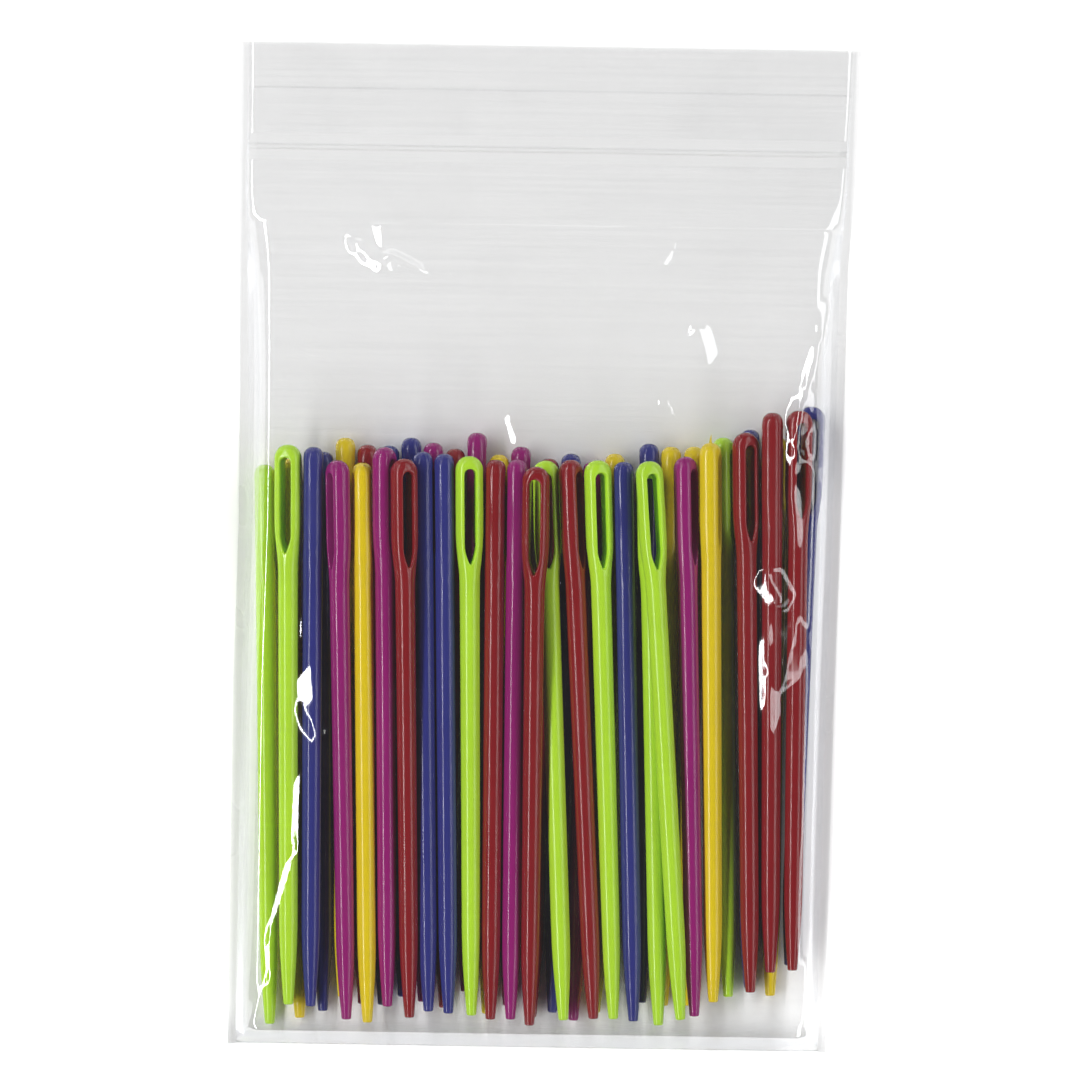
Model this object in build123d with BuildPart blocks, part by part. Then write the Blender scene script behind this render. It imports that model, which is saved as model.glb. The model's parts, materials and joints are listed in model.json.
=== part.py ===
from build123d import *
import math
import os

# A resealable clear bag lying flat, with plastic yarn needles in it.
# X runs across the bag, +Y towards its zip, +Z up from the table. Millimetres.

# Needle: a moulded round shank with a flattened, slotted eye.
needle_length = 70.0
shank_diameter = 2.5
lower_diameter = 2.34
tip_diameter = 1.2
tip_rounding = 0.2
point_length = 11.0
eye_width = 3.4
eye_thickness = 2.5
eye_edge_radius = 1.1
eye_length = 14.0
eye_neck_length = 4.4
slot_width = 1.5
slot_crown = 1.575
slot_heel = 0.525
slot_foot_length = 2.6
slot_foot_width = 0.36
eye_foot_inset = 0.1

# Film and bag.
film = 0.08
bag_width = 77.8
seal_width = 1.0
fold_gap = 0.2
tip_room = 2.2
head_room = 22.2
neck_length = 7.7
zip_width = 3.4
lip_length = 11.4
hinge_height = 2.7
lip_end_gap = 0.5
film_clearance = 0.25
edge_clearance = 0.2
foot_inset = 0.1

# Zip profile: a rib on the back film and a groove on the front one.
strip_thickness = 0.15
stem_width = 0.35
stem_height = 0.32
head_width = 0.7
head_height = 0.3
zip_side_clearance = 0.06
zip_end_clearance = 0.07
hook_thickness = 0.25
hook_lip_height = 0.08
guide_width = 0.2
guide_height = 0.16
guide_offset = 1.3
grip_width = 0.35
grip_height = 0.12

# How the needles lie.
needle_clearance = 0.12
rest_clearance = 0.12
slide_up = 8.0
slide_down = 0.4
row_margin = 4.4
row_lean = 0.9
stations = 36
probe_turns = 7
probe_steps = 6

# Where the outermost needles of the row stand, and the line of most eye tops.
row_left_px = 262
row_right_px = 814
row_middle_px = 543.2
eye_line_px = 464

# Each needle: colour, eye across and up the picture, tip across, turn that raises its left side.
# Those that lie on the back film come first, then those on them, then the top ones.
needles_px = (
    ("yellow", 287, 462, 298, 90), ("blue", 322, 455, 321, 90), ("yellow", 344, 441, 341, 90),
    ("red", 366, 448, 361, 90), ("blue", 388, 449, 381, 90), ("blue", 410, 441, 401, 90),
    ("purple", 432, 446, 421, 90), ("red", 454, 452, 442, 90), ("purple", 476, 436, 464, 90),
    ("yellow", 498, 458, 485, 90), ("purple", 520, 450, 506, 90), ("red", 548, 462, 530, 90),
    ("blue", 570, 457, 551, 90), ("purple", 592, 465, 572, 90), ("yellow", 614, 457, 594, 90),
    ("blue", 648, 447, 640, 90), ("yellow", 670, 450, 662, 90), ("yellow", 693, 450, 686, 90),
    ("green", 722, 441, 727, 70), ("blue", 749, 433, 748, 90), ("yellow", 776, 440, 769, 90),
    ("blue", 811, 410, 788, 10), ("green", 263, 468, 268, 85),
    ("blue", 312.5, 450, 309, 90), ("green", 287, 448, 287, -20), ("purple", 336.5, 463, 345, -60),
    ("yellow", 361, 466, 366, 90), ("purple", 383.5, 450, 386, 60), ("blue", 421.5, 455, 427, 90),
    ("blue", 443, 457, 447, 90), ("green", 468, 459, 470, 8), ("red", 494.5, 463, 489, 90),
    ("purple", 516, 463, 509, 90), ("green", 544, 464, 562, 0), ("red", 569, 463, 592, 60),
    ("green", 596, 463, 612, 22), ("blue", 622, 465, 632, 90), ("green", 647.5, 469, 657, 0),
    ("purple", 684, 460, 693, 60), ("yellow", 709, 446, 712, 75), ("red", 744, 436, 749, 35),
    ("red", 771, 416, 769, 80), ("red", 798, 414, 791, 25),
    ("red", 403, 461, 408, 30), ("red", 535, 469, 528, -10), ("green", 647, 464, 679, 20),
)

# Outline of the bag from its bottom edge to its top edge: height, left and right edge.
outline_shares = (
    (0.000, -0.991, 0.935), (0.118, -0.991, 0.934), (0.360, -0.992, 0.945),
    (0.520, -0.982, 0.957), (0.655, -0.984, 0.963), (0.780, -0.992, 0.967),
    (0.850, -1.000, 0.985), (0.910, -1.000, 0.992), (1.000, -1.000, 1.000),
)
arch_power = 4
steep_share = 0.2
arch_shares = (0.0, 0.004, 0.012, 0.025, 0.045, 0.07, 0.1, 0.14, 0.2, 0.28, 0.38, 0.5)

eye_half = eye_width / 2
half_thickness = eye_thickness / 2
shank_radius = shank_diameter / 2
eye_start = needle_length - eye_length
slot_length = eye_length - slot_crown - slot_heel
row_width = bag_width - 2 * row_margin


# One needle, along +Y from its tip, with the slot through its thickness.
def round_radius(along):
    """Radius of the round shank at a distance from the tip."""
    if along <= 0:
        return tip_diameter / 2
    if along < point_length:
        swell = math.sin(math.pi / 2 * along / point_length)
        return (tip_diameter + (lower_diameter - tip_diameter) * swell) / 2
    grown = min(1, (along - point_length) / (eye_start - point_length))
    return (lower_diameter + (shank_diameter - lower_diameter) * grown) / 2


point_steps_shares = (0.12, 0.3, 0.5, 0.72, 1.0)

with BuildPart() as shank:
    with BuildSketch(Plane.XY):
        with BuildLine():
            foot = tip_diameter / 2 - tip_rounding
            points = [(round_radius(s * point_length), s * point_length) for s in point_steps_shares]
            start = (tip_diameter / 2, tip_rounding)
            flare = (shank_diameter - lower_diameter) / 2
            Line((0, 0), (foot, 0))
            ThreePointArc(
                (foot, 0),
                (foot + tip_rounding * math.sin(math.pi / 4), tip_rounding * (1 - math.cos(math.pi / 4))),
                start,
            )
            Spline(start, *points, tangents=((0, 1), (flare, eye_start - point_length)))
            Line(points[-1], (shank_radius, eye_start))
            Line((shank_radius, eye_start), (0, eye_start))
            Line((0, eye_start), (0, 0))
        make_face()
    revolve(axis=Axis.Y)

with BuildPart() as eye:
    with BuildSketch(Plane.XY.offset(-half_thickness)):
        with BuildLine():
            foot_half = shank_radius - eye_foot_inset
            neck = eye_start - eye_neck_length / 2
            arch_centre = needle_length - eye_half
            straight = eye_start + eye_neck_length
            Spline((foot_half, neck), (eye_half, straight), tangents=((0, 1), (0, 1)))
            Line((eye_half, straight), (eye_half, arch_centre))
            ThreePointArc((eye_half, arch_centre), (0, needle_length), (-eye_half, arch_centre))
            Line((-eye_half, arch_centre), (-eye_half, straight))
            Spline((-eye_half, straight), (-foot_half, neck), tangents=((0, -1), (0, -1)))
            Line((-foot_half, neck), (foot_half, neck))
        make_face()
    extrude(amount=eye_thickness)
    rims = eye.faces().sort_by(Axis.Z)
    rim_edges = rims[0].edges() + rims[-1].edges()
    sides = [e for e in rim_edges if e.center().Y > neck + eye_foot_inset]
    fillet(sides, eye_edge_radius)
    with BuildSketch(Plane.XY.offset(-eye_thickness)):
        with BuildLine():
            slot_half = slot_width / 2
            foot_half_slot = slot_foot_width / 2
            slot_top = needle_length - slot_crown
            slot_arc = slot_top - slot_half
            slot_bottom = slot_top - slot_length
            taper_top = slot_bottom + slot_foot_length
            taper_foot = slot_bottom + foot_half_slot
            Line((slot_half, taper_top), (slot_half, slot_arc))
            ThreePointArc((slot_half, slot_arc), (0, slot_top), (-slot_half, slot_arc))
            Line((-slot_half, slot_arc), (-slot_half, taper_top))
            Line((-slot_half, taper_top), (-foot_half_slot, taper_foot))
            ThreePointArc((-foot_half_slot, taper_foot), (0, slot_bottom), (foot_half_slot, taper_foot))
            Line((foot_half_slot, taper_foot), (slot_half, taper_top))
        make_face()
    extrude(amount=2 * eye_thickness, mode=Mode.SUBTRACT)

with BuildPart() as needle:
    add(shank.part)
    add(eye.part)


# The heap: each needle drops until it rests on those before it.
corner = (eye_half - eye_edge_radius, half_thickness - eye_edge_radius)
eye_discs = [(sx * corner[0], sz * corner[1], eye_edge_radius) for sx in (-1, 1) for sz in (-1, 1)]
eye_discs += [(sx * (eye_half - half_thickness), 0, half_thickness) for sx in (-1, 1)]
mm_per_px = row_width / (row_right_px - row_left_px)


class Lay:
    """One needle's place: its line seen from above, its turn and the heights of its ends."""

    def __init__(self, colour, eye_px, top_px, tip_px, turn):
        self.colour = colour
        self.turn = turn
        lean = math.radians(row_lean)
        across = (eye_px - row_middle_px) * mm_per_px
        along = (eye_line_px - top_px) * mm_per_px
        drift = (tip_px - eye_px) * mm_per_px
        down = math.sqrt(needle_length**2 - drift**2)
        self.eye_x = across * math.cos(lean) - along * math.sin(lean)
        self.eye_y = across * math.sin(lean) + along * math.cos(lean)
        self.tip_x = self.eye_x + drift * math.cos(lean) + down * math.sin(lean)
        self.tip_y = self.eye_y + drift * math.sin(lean) - down * math.cos(lean)
        self.eye_z = self.tip_z = 0
        spin = math.radians(-turn)
        self.discs = [
            (x * math.cos(spin) - z * math.sin(spin), x * math.sin(spin) + z * math.cos(spin), r)
            for x, z, r in eye_discs
        ]

    def share(self, y):
        return (y - self.tip_y) / (self.eye_y - self.tip_y)

    def x(self, y):
        return self.tip_x + (self.eye_x - self.tip_x) * self.share(y)

    def z(self, y):
        return self.tip_z + (self.eye_z - self.tip_z) * self.share(y)

    def section(self, y):
        """The discs that fill its section at y, wherever it has slid to."""
        if y < self.tip_y - slide_down - needle_clearance or y > self.eye_y + slide_up + needle_clearance:
            return []
        if y > self.eye_y - eye_length - slide_down:
            return self.discs
        return [(0, 0, round_radius(y - self.tip_y + slide_down))]

    def ys(self):
        low = self.tip_y - slide_down
        high = self.eye_y + slide_up
        return [low + (high - low) * k / stations for k in range(stations + 1)]

    def tops(self, y):
        """Outer edges and top of each disc of its section at y."""
        return [(self.x(y) + dx, self.z(y) + dz + r) for dx, dz, r in self.section(y)]


def settle(lays):
    """Drops the needles in turn and sets the heights of their ends."""
    for i, new in enumerate(lays):
        needs = []
        for y in new.ys():
            mine = new.section(y)
            need = max(film + rest_clearance + r - dz for _, dz, r in mine)
            for old in lays[:i]:
                gap = new.x(y) - old.x(y)
                if abs(gap) > 2 * eye_width:
                    continue
                for ox, oz, oradius in old.section(y):
                    for dx, dz, r in mine:
                        reach = r + oradius + needle_clearance
                        off = gap + dx - ox
                        if abs(off) < reach:
                            need = max(need, old.z(y) + oz - dz + math.sqrt(reach**2 - off**2))
            needs.append((y, need))
        middle = (new.tip_y + new.eye_y) / 2
        lower = [p for p in needs if p[0] <= middle]
        upper = [p for p in needs if p[0] > middle]
        best = max(
            ((a[1] + (b[1] - a[1]) * (middle - a[0]) / (b[0] - a[0]), a, b) for a in lower for b in upper),
            key=lambda t: t[0],
        )
        _, a, b = best
        slope = (b[1] - a[1]) / (b[0] - a[0])
        new.tip_z = a[1] + slope * (new.tip_y - a[0])
        new.eye_z = a[1] + slope * (new.eye_y - a[0])


lays = [Lay(*row) for row in needles_px]
settle(lays)
first_y = min(lay.tip_y for lay in lays) - slide_down
last_y = max(lay.eye_y for lay in lays)
bag_length = tip_room + (last_y - first_y) + head_room + neck_length + zip_width + lip_length
bottom_y = -bag_length / 2
shift_y = bottom_y + tip_room - first_y
hinge_y = bag_length / 2 - lip_length - zip_width - neck_length
zip_low = hinge_y + neck_length
zip_mid = zip_low + zip_width / 2
for lay in lays:
    lay.tip_y += shift_y
    lay.eye_y += shift_y


def edges_at(y):
    """Left and right edge of the bag at y."""
    t = (y - bottom_y) / bag_length
    for (t0, l0, r0), (t1, l1, r1) in zip(outline_shares, outline_shares[1:]):
        if t <= t1:
            k = (t - t0) / (t1 - t0)
            return (l0 + (l1 - l0) * k) * bag_width / 2, (r0 + (r1 - r0) * k) * bag_width / 2
    return -bag_width / 2, bag_width / 2


def arch_rise(share):
    """Height of the film's arch at a share of its half width, as a share of its middle height."""
    return max(0, 1 - min(1, abs(share)) ** arch_power) ** (1 / arch_power)


def arch_shape(x, y):
    """Height of the film's arch at x, as a share of its height in the middle."""
    left, right = edges_at(y)
    middle = (left + right) / 2
    half = (right - left) / 2 - seal_width - foot_inset
    return arch_rise((x - middle) / half)


def needed_height(y):
    """Middle height of the arch that clears every needle at y, wherever they have slid to."""
    tallest = 0
    for lay in lays:
        for dx, dz, r in lay.section(y):
            x, z = lay.x(y) + dx, lay.z(y) + dz
            reach = r + film_clearance
            for k in range(probe_turns + 1):
                turn = math.pi * k / probe_turns
                top = z + reach * math.sin(turn)
                shape = arch_shape(x + reach * math.cos(turn), y)
                tallest = max(tallest, top / shape if shape > steep_share else top)
    return tallest


# Stations along the front film, from the fold to the hinge line.
fold_y = bottom_y + film + fold_gap
fold_height = 2 * film + fold_gap
rise_share = 0.35
fall_steps = 7
fall_lead_share = 0.5
span_shares = (0.015, 0.04, 0.08, 0.13, 0.19, 0.26, 0.33, 0.4, 0.47, 0.54, 0.61, 0.68, 0.75, 0.81, 0.87)
needle_end = last_y + shift_y + slide_up
body_low = bottom_y + tip_room - film_clearance
wall_foot = bottom_y + tip_room * rise_share
film_ys = [body_low + (hinge_y - body_low) * s for s in (0,) + span_shares]
step = (hinge_y - body_low) * max(b - a for a, b in zip((0,) + span_shares, span_shares)) / 2
tall = {}
for y in film_ys:
    probes = [y + step * k / probe_steps for k in range(-probe_steps, probe_steps + 1)]
    tall[y] = max(needed_height(p) for p in probes)
crest = max(tall.values())
heights = [(fold_y, fold_height), (wall_foot, tall[body_low] * rise_share)]
for y in film_ys:
    if y <= needle_end + step:
        heights.append((y, max(tall[y], hinge_height)))
last_full = heights[-1]
for k in range(1, fall_steps + 1):
    along = k / fall_steps
    fall = (1 - math.cos(math.pi * along)) / 2 * (1 - fall_lead_share) + along * fall_lead_share
    y = last_full[0] + (hinge_y - last_full[0]) * along
    heights.append((y, last_full[1] + (hinge_height - last_full[1]) * fall))
print("film crest", round(crest, 2), "bag length", round(bag_length, 2), "hinge line", round(hinge_y, 2))


cross_shares = [2 * s - 1 for s in arch_shares[:-1]] + [0] + [1 - 2 * s for s in arch_shares[-2::-1]]


def arch_points(y, height, inset=0.0):
    """Points across an arch: along X and Z, from the left edge to the right one."""
    left, right = edges_at(y)
    middle = (left + right) / 2
    half = (right - left) / 2 - seal_width - foot_inset - inset
    top = height - inset
    return [(middle + half * s, film + (top - film) * arch_rise(s)) for s in cross_shares]


def arch_face(y, height):
    """Section of the film at y: an outer and an inner curve, closed at the two edges."""
    outer = arch_points(y, height)
    inner = arch_points(y, height, film)
    plane = Plane(origin=(0, y, 0), x_dir=(1, 0, 0), z_dir=(0, -1, 0))
    with BuildSketch(plane) as section:
        with BuildLine():
            Polyline(*outer)
            Line(outer[-1], inner[-1])
            Polyline(*reversed(inner))
            Line(inner[0], outer[0])
        make_face()
    return section.sketch


with BuildPart() as front_film:
    for y, height in heights:
        add(arch_face(y, height))
    loft(ruled=True)

# Flat back film, side seals and the fold.
outline_ys = [bottom_y + t * bag_length for t, _, _ in outline_shares]

with BuildPart() as back_film:
    with BuildSketch(Plane.XY):
        with BuildLine():
            lefts = [(edges_at(y)[0] + seal_width, max(y, fold_y)) for y in outline_ys]
            rights = [(edges_at(y)[1] - seal_width, max(y, fold_y)) for y in outline_ys]
            Polyline(*lefts, *reversed(rights), close=True)
        make_face()
    extrude(amount=film)

with BuildPart() as side_seal_left:
    with BuildSketch(Plane.XY):
        with BuildLine():
            outer = [(edges_at(y)[0], y) for y in outline_ys]
            inner = [(x + seal_width, y) for x, y in outer]
            Polyline(*outer, *reversed(inner), close=True)
        make_face()
    extrude(amount=2 * film)

with BuildPart() as side_seal_right:
    with BuildSketch(Plane.XY):
        with BuildLine():
            outer = [(edges_at(y)[1], y) for y in outline_ys]
            inner = [(x - seal_width, y) for x, y in outer]
            Polyline(*outer, *reversed(inner), close=True)
        make_face()
    extrude(amount=2 * film)

fold_left, fold_right = (e + s * seal_width for e, s in zip(edges_at(bottom_y), (1, -1)))
with BuildPart() as bottom_fold:
    with BuildSketch(Plane(origin=(fold_left, 0, 0), x_dir=(0, 1, 0), z_dir=(1, 0, 0))):
        with BuildLine():
            outer_r = film + fold_gap / 2
            inner_r = fold_gap / 2
            ThreePointArc((fold_y, 0), (fold_y - outer_r, outer_r), (fold_y, 2 * outer_r))
            Line((fold_y, 2 * outer_r), (fold_y, 2 * outer_r - film))
            ThreePointArc((fold_y, film + 2 * inner_r), (fold_y - inner_r, outer_r), (fold_y, film))
            Line((fold_y, film), (fold_y, 0))
        make_face()
    extrude(amount=fold_right - fold_left)

# Zip and lip.
zip_left, zip_right = (e + s * (seal_width + edge_clearance) for e, s in zip(edges_at(zip_mid), (1, -1)))
rib_top = film + strip_thickness + stem_height + head_height
roof = rib_top + zip_end_clearance
lip_under = roof + strip_thickness
lip_top = lip_under + film
cross_plane = Plane(origin=(zip_left, 0, 0), x_dir=(0, 1, 0), z_dir=(1, 0, 0))

with BuildPart() as zip_rib:
    with BuildSketch(cross_plane):
        strip_top = film + strip_thickness
        stem_top = strip_top + stem_height
        with BuildLine():
            Polyline(
                (zip_low, film), (zip_low + zip_width, film), (zip_low + zip_width, strip_top),
                (zip_mid + stem_width / 2, strip_top), (zip_mid + stem_width / 2, stem_top),
                (zip_mid + head_width / 2, stem_top),
                (zip_mid + stem_width / 2, rib_top), (zip_mid - stem_width / 2, rib_top),
                (zip_mid - head_width / 2, stem_top),
                (zip_mid - stem_width / 2, stem_top), (zip_mid - stem_width / 2, strip_top),
                (zip_low, strip_top), close=True,
            )
        make_face()
    extrude(amount=zip_right - zip_left)

with BuildPart() as zip_groove:
    with BuildSketch(cross_plane):
        cavity = head_width / 2 + zip_side_clearance
        throat = stem_width / 2 + zip_side_clearance
        hook_foot = stem_top - zip_end_clearance
        hook_low = hook_foot - hook_lip_height
        outer_wall = cavity + hook_thickness
        with BuildLine():
            Polyline(
                (zip_low, lip_under), (zip_low + zip_width, lip_under), (zip_low + zip_width, roof),
                (zip_mid + outer_wall, roof), (zip_mid + outer_wall, hook_foot),
                (zip_mid + cavity, hook_low), (zip_mid + throat, hook_low),
                (zip_mid + throat, hook_foot), (zip_mid + cavity, hook_foot),
                (zip_mid + cavity, roof), (zip_mid - cavity, roof), (zip_mid - cavity, hook_foot),
                (zip_mid - throat, hook_foot), (zip_mid - throat, hook_low),
                (zip_mid - cavity, hook_low), (zip_mid - outer_wall, hook_foot),
                (zip_mid - outer_wall, roof), (zip_low, roof), close=True,
            )
        make_face()
        guide_z = roof - guide_height / 2
        with Locations((zip_mid - guide_offset, guide_z), (zip_mid + guide_offset, guide_z)):
            Rectangle(guide_width, guide_height)
    extrude(amount=zip_right - zip_left)

# Along the neck, how far its arch has flattened, and how far it has come down to the zip.
neck_shares = ((0.0, 0.0, 0.0), (0.5, 0.55, 0.573), (1.0, 0.96, 1.0))


def lip_face(y, height, flat):
    """Section of the lip's neck at y, set in from the side seals."""
    left, right = edges_at(y)
    middle = (left + right) / 2
    half = (right - left) / 2 - seal_width - edge_clearance
    foot = film + edge_clearance
    outer, inner = [], []
    for s in cross_shares:
        rise = arch_rise(s) + (1 - arch_rise(s)) * flat
        outer.append((middle + half * s, foot + film + (height - film - foot) * rise))
        inner.append((middle + (half - film * (1 - flat)) * s, foot + (height - film - foot) * rise))
    plane = Plane(origin=(0, y, 0), x_dir=(1, 0, 0), z_dir=(0, -1, 0))
    with BuildSketch(plane) as section:
        with BuildLine():
            Polyline(*outer)
            Line(outer[-1], inner[-1])
            Polyline(*reversed(inner))
            Line(inner[0], outer[0])
        make_face()
    return section.sketch


with BuildPart() as front_lip:
    lip_start = hinge_y + edge_clearance
    for along, flat, fallen in neck_shares:
        y = lip_start + (zip_low + film - lip_start) * along
        add(lip_face(y, hinge_height + (lip_top - hinge_height) * fallen, flat))
    loft(ruled=True)
    with BuildSketch(cross_plane):
        with BuildLine():
            Polyline(
                (zip_low, lip_under), (zip_low + zip_width, lip_under),
                (bag_length / 2, lip_end_gap + film), (bag_length / 2, lip_end_gap + 2 * film),
                (zip_low + zip_width, lip_top), (zip_low, lip_top), close=True,
            )
        make_face()
    extrude(amount=zip_right - zip_left)

grip_y = (zip_low + zip_width + bag_length / 2) / 2
grip_drop = (lip_top - lip_end_gap - 2 * film) / 2
grip_inset = seal_width + 2 * edge_clearance
grip_left, grip_right = (e + s * grip_inset for e, s in zip(edges_at(grip_y), (1, -1)))
with BuildPart() as grip_rib:
    with BuildSketch(Plane(origin=(grip_left, 0, 0), x_dir=(0, 1, 0), z_dir=(1, 0, 0))):
        base_z = lip_top - grip_drop
        tilt = (lip_top - lip_end_gap - 2 * film) / lip_length * grip_width / 2
        with BuildLine():
            Line((grip_y - grip_width / 2, base_z + tilt), (grip_y + grip_width / 2, base_z - tilt))
            ThreePointArc(
                (grip_y + grip_width / 2, base_z - tilt),
                (grip_y, base_z + grip_height),
                (grip_y - grip_width / 2, base_z + tilt),
            )
        make_face()
    extrude(amount=grip_right - grip_left)

os.makedirs("parts", exist_ok=True)
pieces = {
    "back_film": back_film, "front_film": front_film, "bottom_fold": bottom_fold,
    "side_seal_left": side_seal_left, "side_seal_right": side_seal_right,
    "zip_rib": zip_rib, "zip_groove": zip_groove, "front_lip": front_lip, "grip_rib": grip_rib,
}
for name, piece in pieces.items():
    piece.part.label = name
    export_step(piece.part, f"parts/{name}.step")

for number, lay in enumerate(lays, 1):
    along = Vector(lay.eye_x - lay.tip_x, lay.eye_y - lay.tip_y, lay.eye_z - lay.tip_z).normalized()
    side = Vector(0, 0, 1).cross(along).normalized() * -1
    frame = Plane(origin=(lay.tip_x, lay.tip_y, lay.tip_z), x_dir=side, z_dir=side.cross(along))
    placed = needle.part.rotate(Axis.Y, lay.turn).moved(frame.location)
    placed.label = f"needle_{number:02d}_{lay.colour}"
    export_step(placed, f"parts/{placed.label}.step")
    print(placed.label, *(f"{v:.6f}" for v in (along.X, along.Y, along.Z)))
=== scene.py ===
"""A resealable clear bag of moulded plastic yarn needles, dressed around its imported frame.

The bag lies flat on a pale floor with its zip away from the viewer. Every length is in metres.
"""

import json
import logging
import math
from dataclasses import dataclass, field
from enum import Enum
from typing import Callable, Sequence

import bmesh
import bpy
import numpy as np
from mathutils import Matrix, Vector
from mathutils.bvhtree import BVHTree


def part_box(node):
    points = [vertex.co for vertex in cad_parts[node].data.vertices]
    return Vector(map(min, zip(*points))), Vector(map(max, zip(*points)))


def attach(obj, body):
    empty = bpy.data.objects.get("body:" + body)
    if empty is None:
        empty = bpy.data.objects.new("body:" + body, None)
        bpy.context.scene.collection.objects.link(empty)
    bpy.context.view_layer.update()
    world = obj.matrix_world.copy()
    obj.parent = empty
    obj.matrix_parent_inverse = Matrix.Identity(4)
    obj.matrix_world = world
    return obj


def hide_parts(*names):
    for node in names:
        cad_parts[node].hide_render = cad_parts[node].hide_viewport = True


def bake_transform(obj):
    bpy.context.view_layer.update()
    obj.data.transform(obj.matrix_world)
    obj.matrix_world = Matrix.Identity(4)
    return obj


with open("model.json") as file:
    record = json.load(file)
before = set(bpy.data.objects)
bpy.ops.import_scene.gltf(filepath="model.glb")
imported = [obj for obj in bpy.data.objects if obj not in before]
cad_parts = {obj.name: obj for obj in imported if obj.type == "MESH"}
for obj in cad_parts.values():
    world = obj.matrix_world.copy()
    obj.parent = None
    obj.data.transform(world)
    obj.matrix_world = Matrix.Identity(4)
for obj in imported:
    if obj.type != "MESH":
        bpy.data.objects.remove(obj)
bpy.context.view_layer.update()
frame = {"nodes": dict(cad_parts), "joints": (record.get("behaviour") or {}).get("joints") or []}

log = logging.getLogger("needle_bag")
MM = 0.001
BAG = "bag"
MOUTH = "mouth"
FILM_SLOT = "clear_film"

Array = np.ndarray
Socket = bpy.types.NodeSocket
Piece = bpy.types.Object
Material = bpy.types.Material
Mesh = bpy.types.Mesh
Node = bpy.types.Node
NodeTree = bpy.types.NodeTree


class Colour(Enum):
    """The five colours that the needles are moulded in, as linear red, green and blue."""

    GREEN = (0.450, 0.755, 0.029)
    BLUE = (0.027, 0.030, 0.200)
    PURPLE = (0.280, 0.007, 0.150)
    YELLOW = (0.750, 0.565, 0.006)
    RED = (0.235, 0.006, 0.010)

    @classmethod
    def of(cls, node: str) -> "Colour":
        """The colour at the end of a needle's name."""
        return cls[node.rsplit("_", 1)[1].upper()]

    @property
    def plastic(self) -> str:
        """The name of its material."""
        return f"{self.name.lower()}_plastic"


class Facing(Enum):
    """Which way the outer face of a film looks."""

    UP = 1.0
    DOWN = -1.0
    ROUND = 0.0


@dataclass(frozen=True)
class PlasticFinish:
    """The finish of one needle colour.

    Attributes:
        colour: which of the five colours it is.
        flow: how much the colour varies along the moulding.
        roughness: how dull the moulded skin is.
    """

    colour: Colour
    flow: float
    roughness: float


@dataclass(frozen=True)
class FilmFinish:
    """The finish of one part of the clear bag.

    Attributes:
        name: the material's name.
        cover: how much of the light one face of the film stops when it is seen square on.
        haze: how much more cloudy patches stop.
        roughness: how dull the film's face is.
        lines: depth of the fine drawn lines in the film.
        milky: whether it is the zip's thick white bead, which hides what is under it.
    """

    name: str
    cover: float
    haze: float
    roughness: float
    lines: float
    milky: bool = False


class Tree:
    """A small helper that adds nodes to a tree and joins them."""

    def __init__(self, tree: NodeTree) -> None:
        """Keeps the tree that it adds to."""
        self.tree = tree

    def feed(self, target: Socket, value: object) -> None:
        """Links a socket to an input, or sets the input's value."""
        if isinstance(value, Socket):
            self.tree.links.new(value, target)
        else:
            target.default_value = value

    def add(self, kind: str, values: dict | None = None, **settings: object) -> Node:
        """Adds one node.

        Args:
            kind: the node's type name.
            values: a socket or a plain value for each named or numbered input.
            settings: properties to set on the node.

        Returns:
            The new node.
        """
        node = self.tree.nodes.new(kind)
        for name, value in settings.items():
            setattr(node, name, value)
        for name, value in (values or {}).items():
            self.feed(node.inputs[name], value)
        return node

    def sums(self, operation: str, first: object, second: object, clamp: bool = False) -> Socket:
        """Adds a Math node on two sockets or numbers, and gives its output."""
        node = self.add("ShaderNodeMath", {0: first, 1: second}, operation=operation, use_clamp=clamp)
        return node.outputs[0]

    def noise(self, place: Socket, scale: float, detail: float, distortion: float = 0.0) -> Socket:
        """Adds a noise and gives its output."""
        values = {"Vector": place, "Scale": scale, "Detail": detail, "Distortion": distortion}
        return self.add("ShaderNodeTexNoise", values).outputs["Fac"]

    def drawn_noise(self, place: Socket, scale: Sequence[float], detail: float) -> Socket:
        """Adds a noise with its own scale along each axis and gives its output."""
        drawn = self.add("ShaderNodeMapping", {"Vector": place, "Scale": scale})
        return self.noise(drawn.outputs["Vector"], 1.0, detail)

    def ramp(self, value: Socket, span: Sequence[float], to: Sequence[float] = (0, 1), kind: str = "LINEAR") -> Socket:
        """Maps a value's span to another one, clamped, and gives the result."""
        values = {"Value": value, "From Min": span[0], "From Max": span[1], "To Min": to[0], "To Max": to[1]}
        return self.add("ShaderNodeMapRange", values, interpolation_type=kind).outputs["Result"]

    def about_zero(self, value: Socket, strength: float) -> Socket:
        """Turns a value from 0 to 1 into one about zero, times its strength."""
        return self.sums("MULTIPLY", self.sums("SUBTRACT", value, 0.5), strength)


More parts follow.
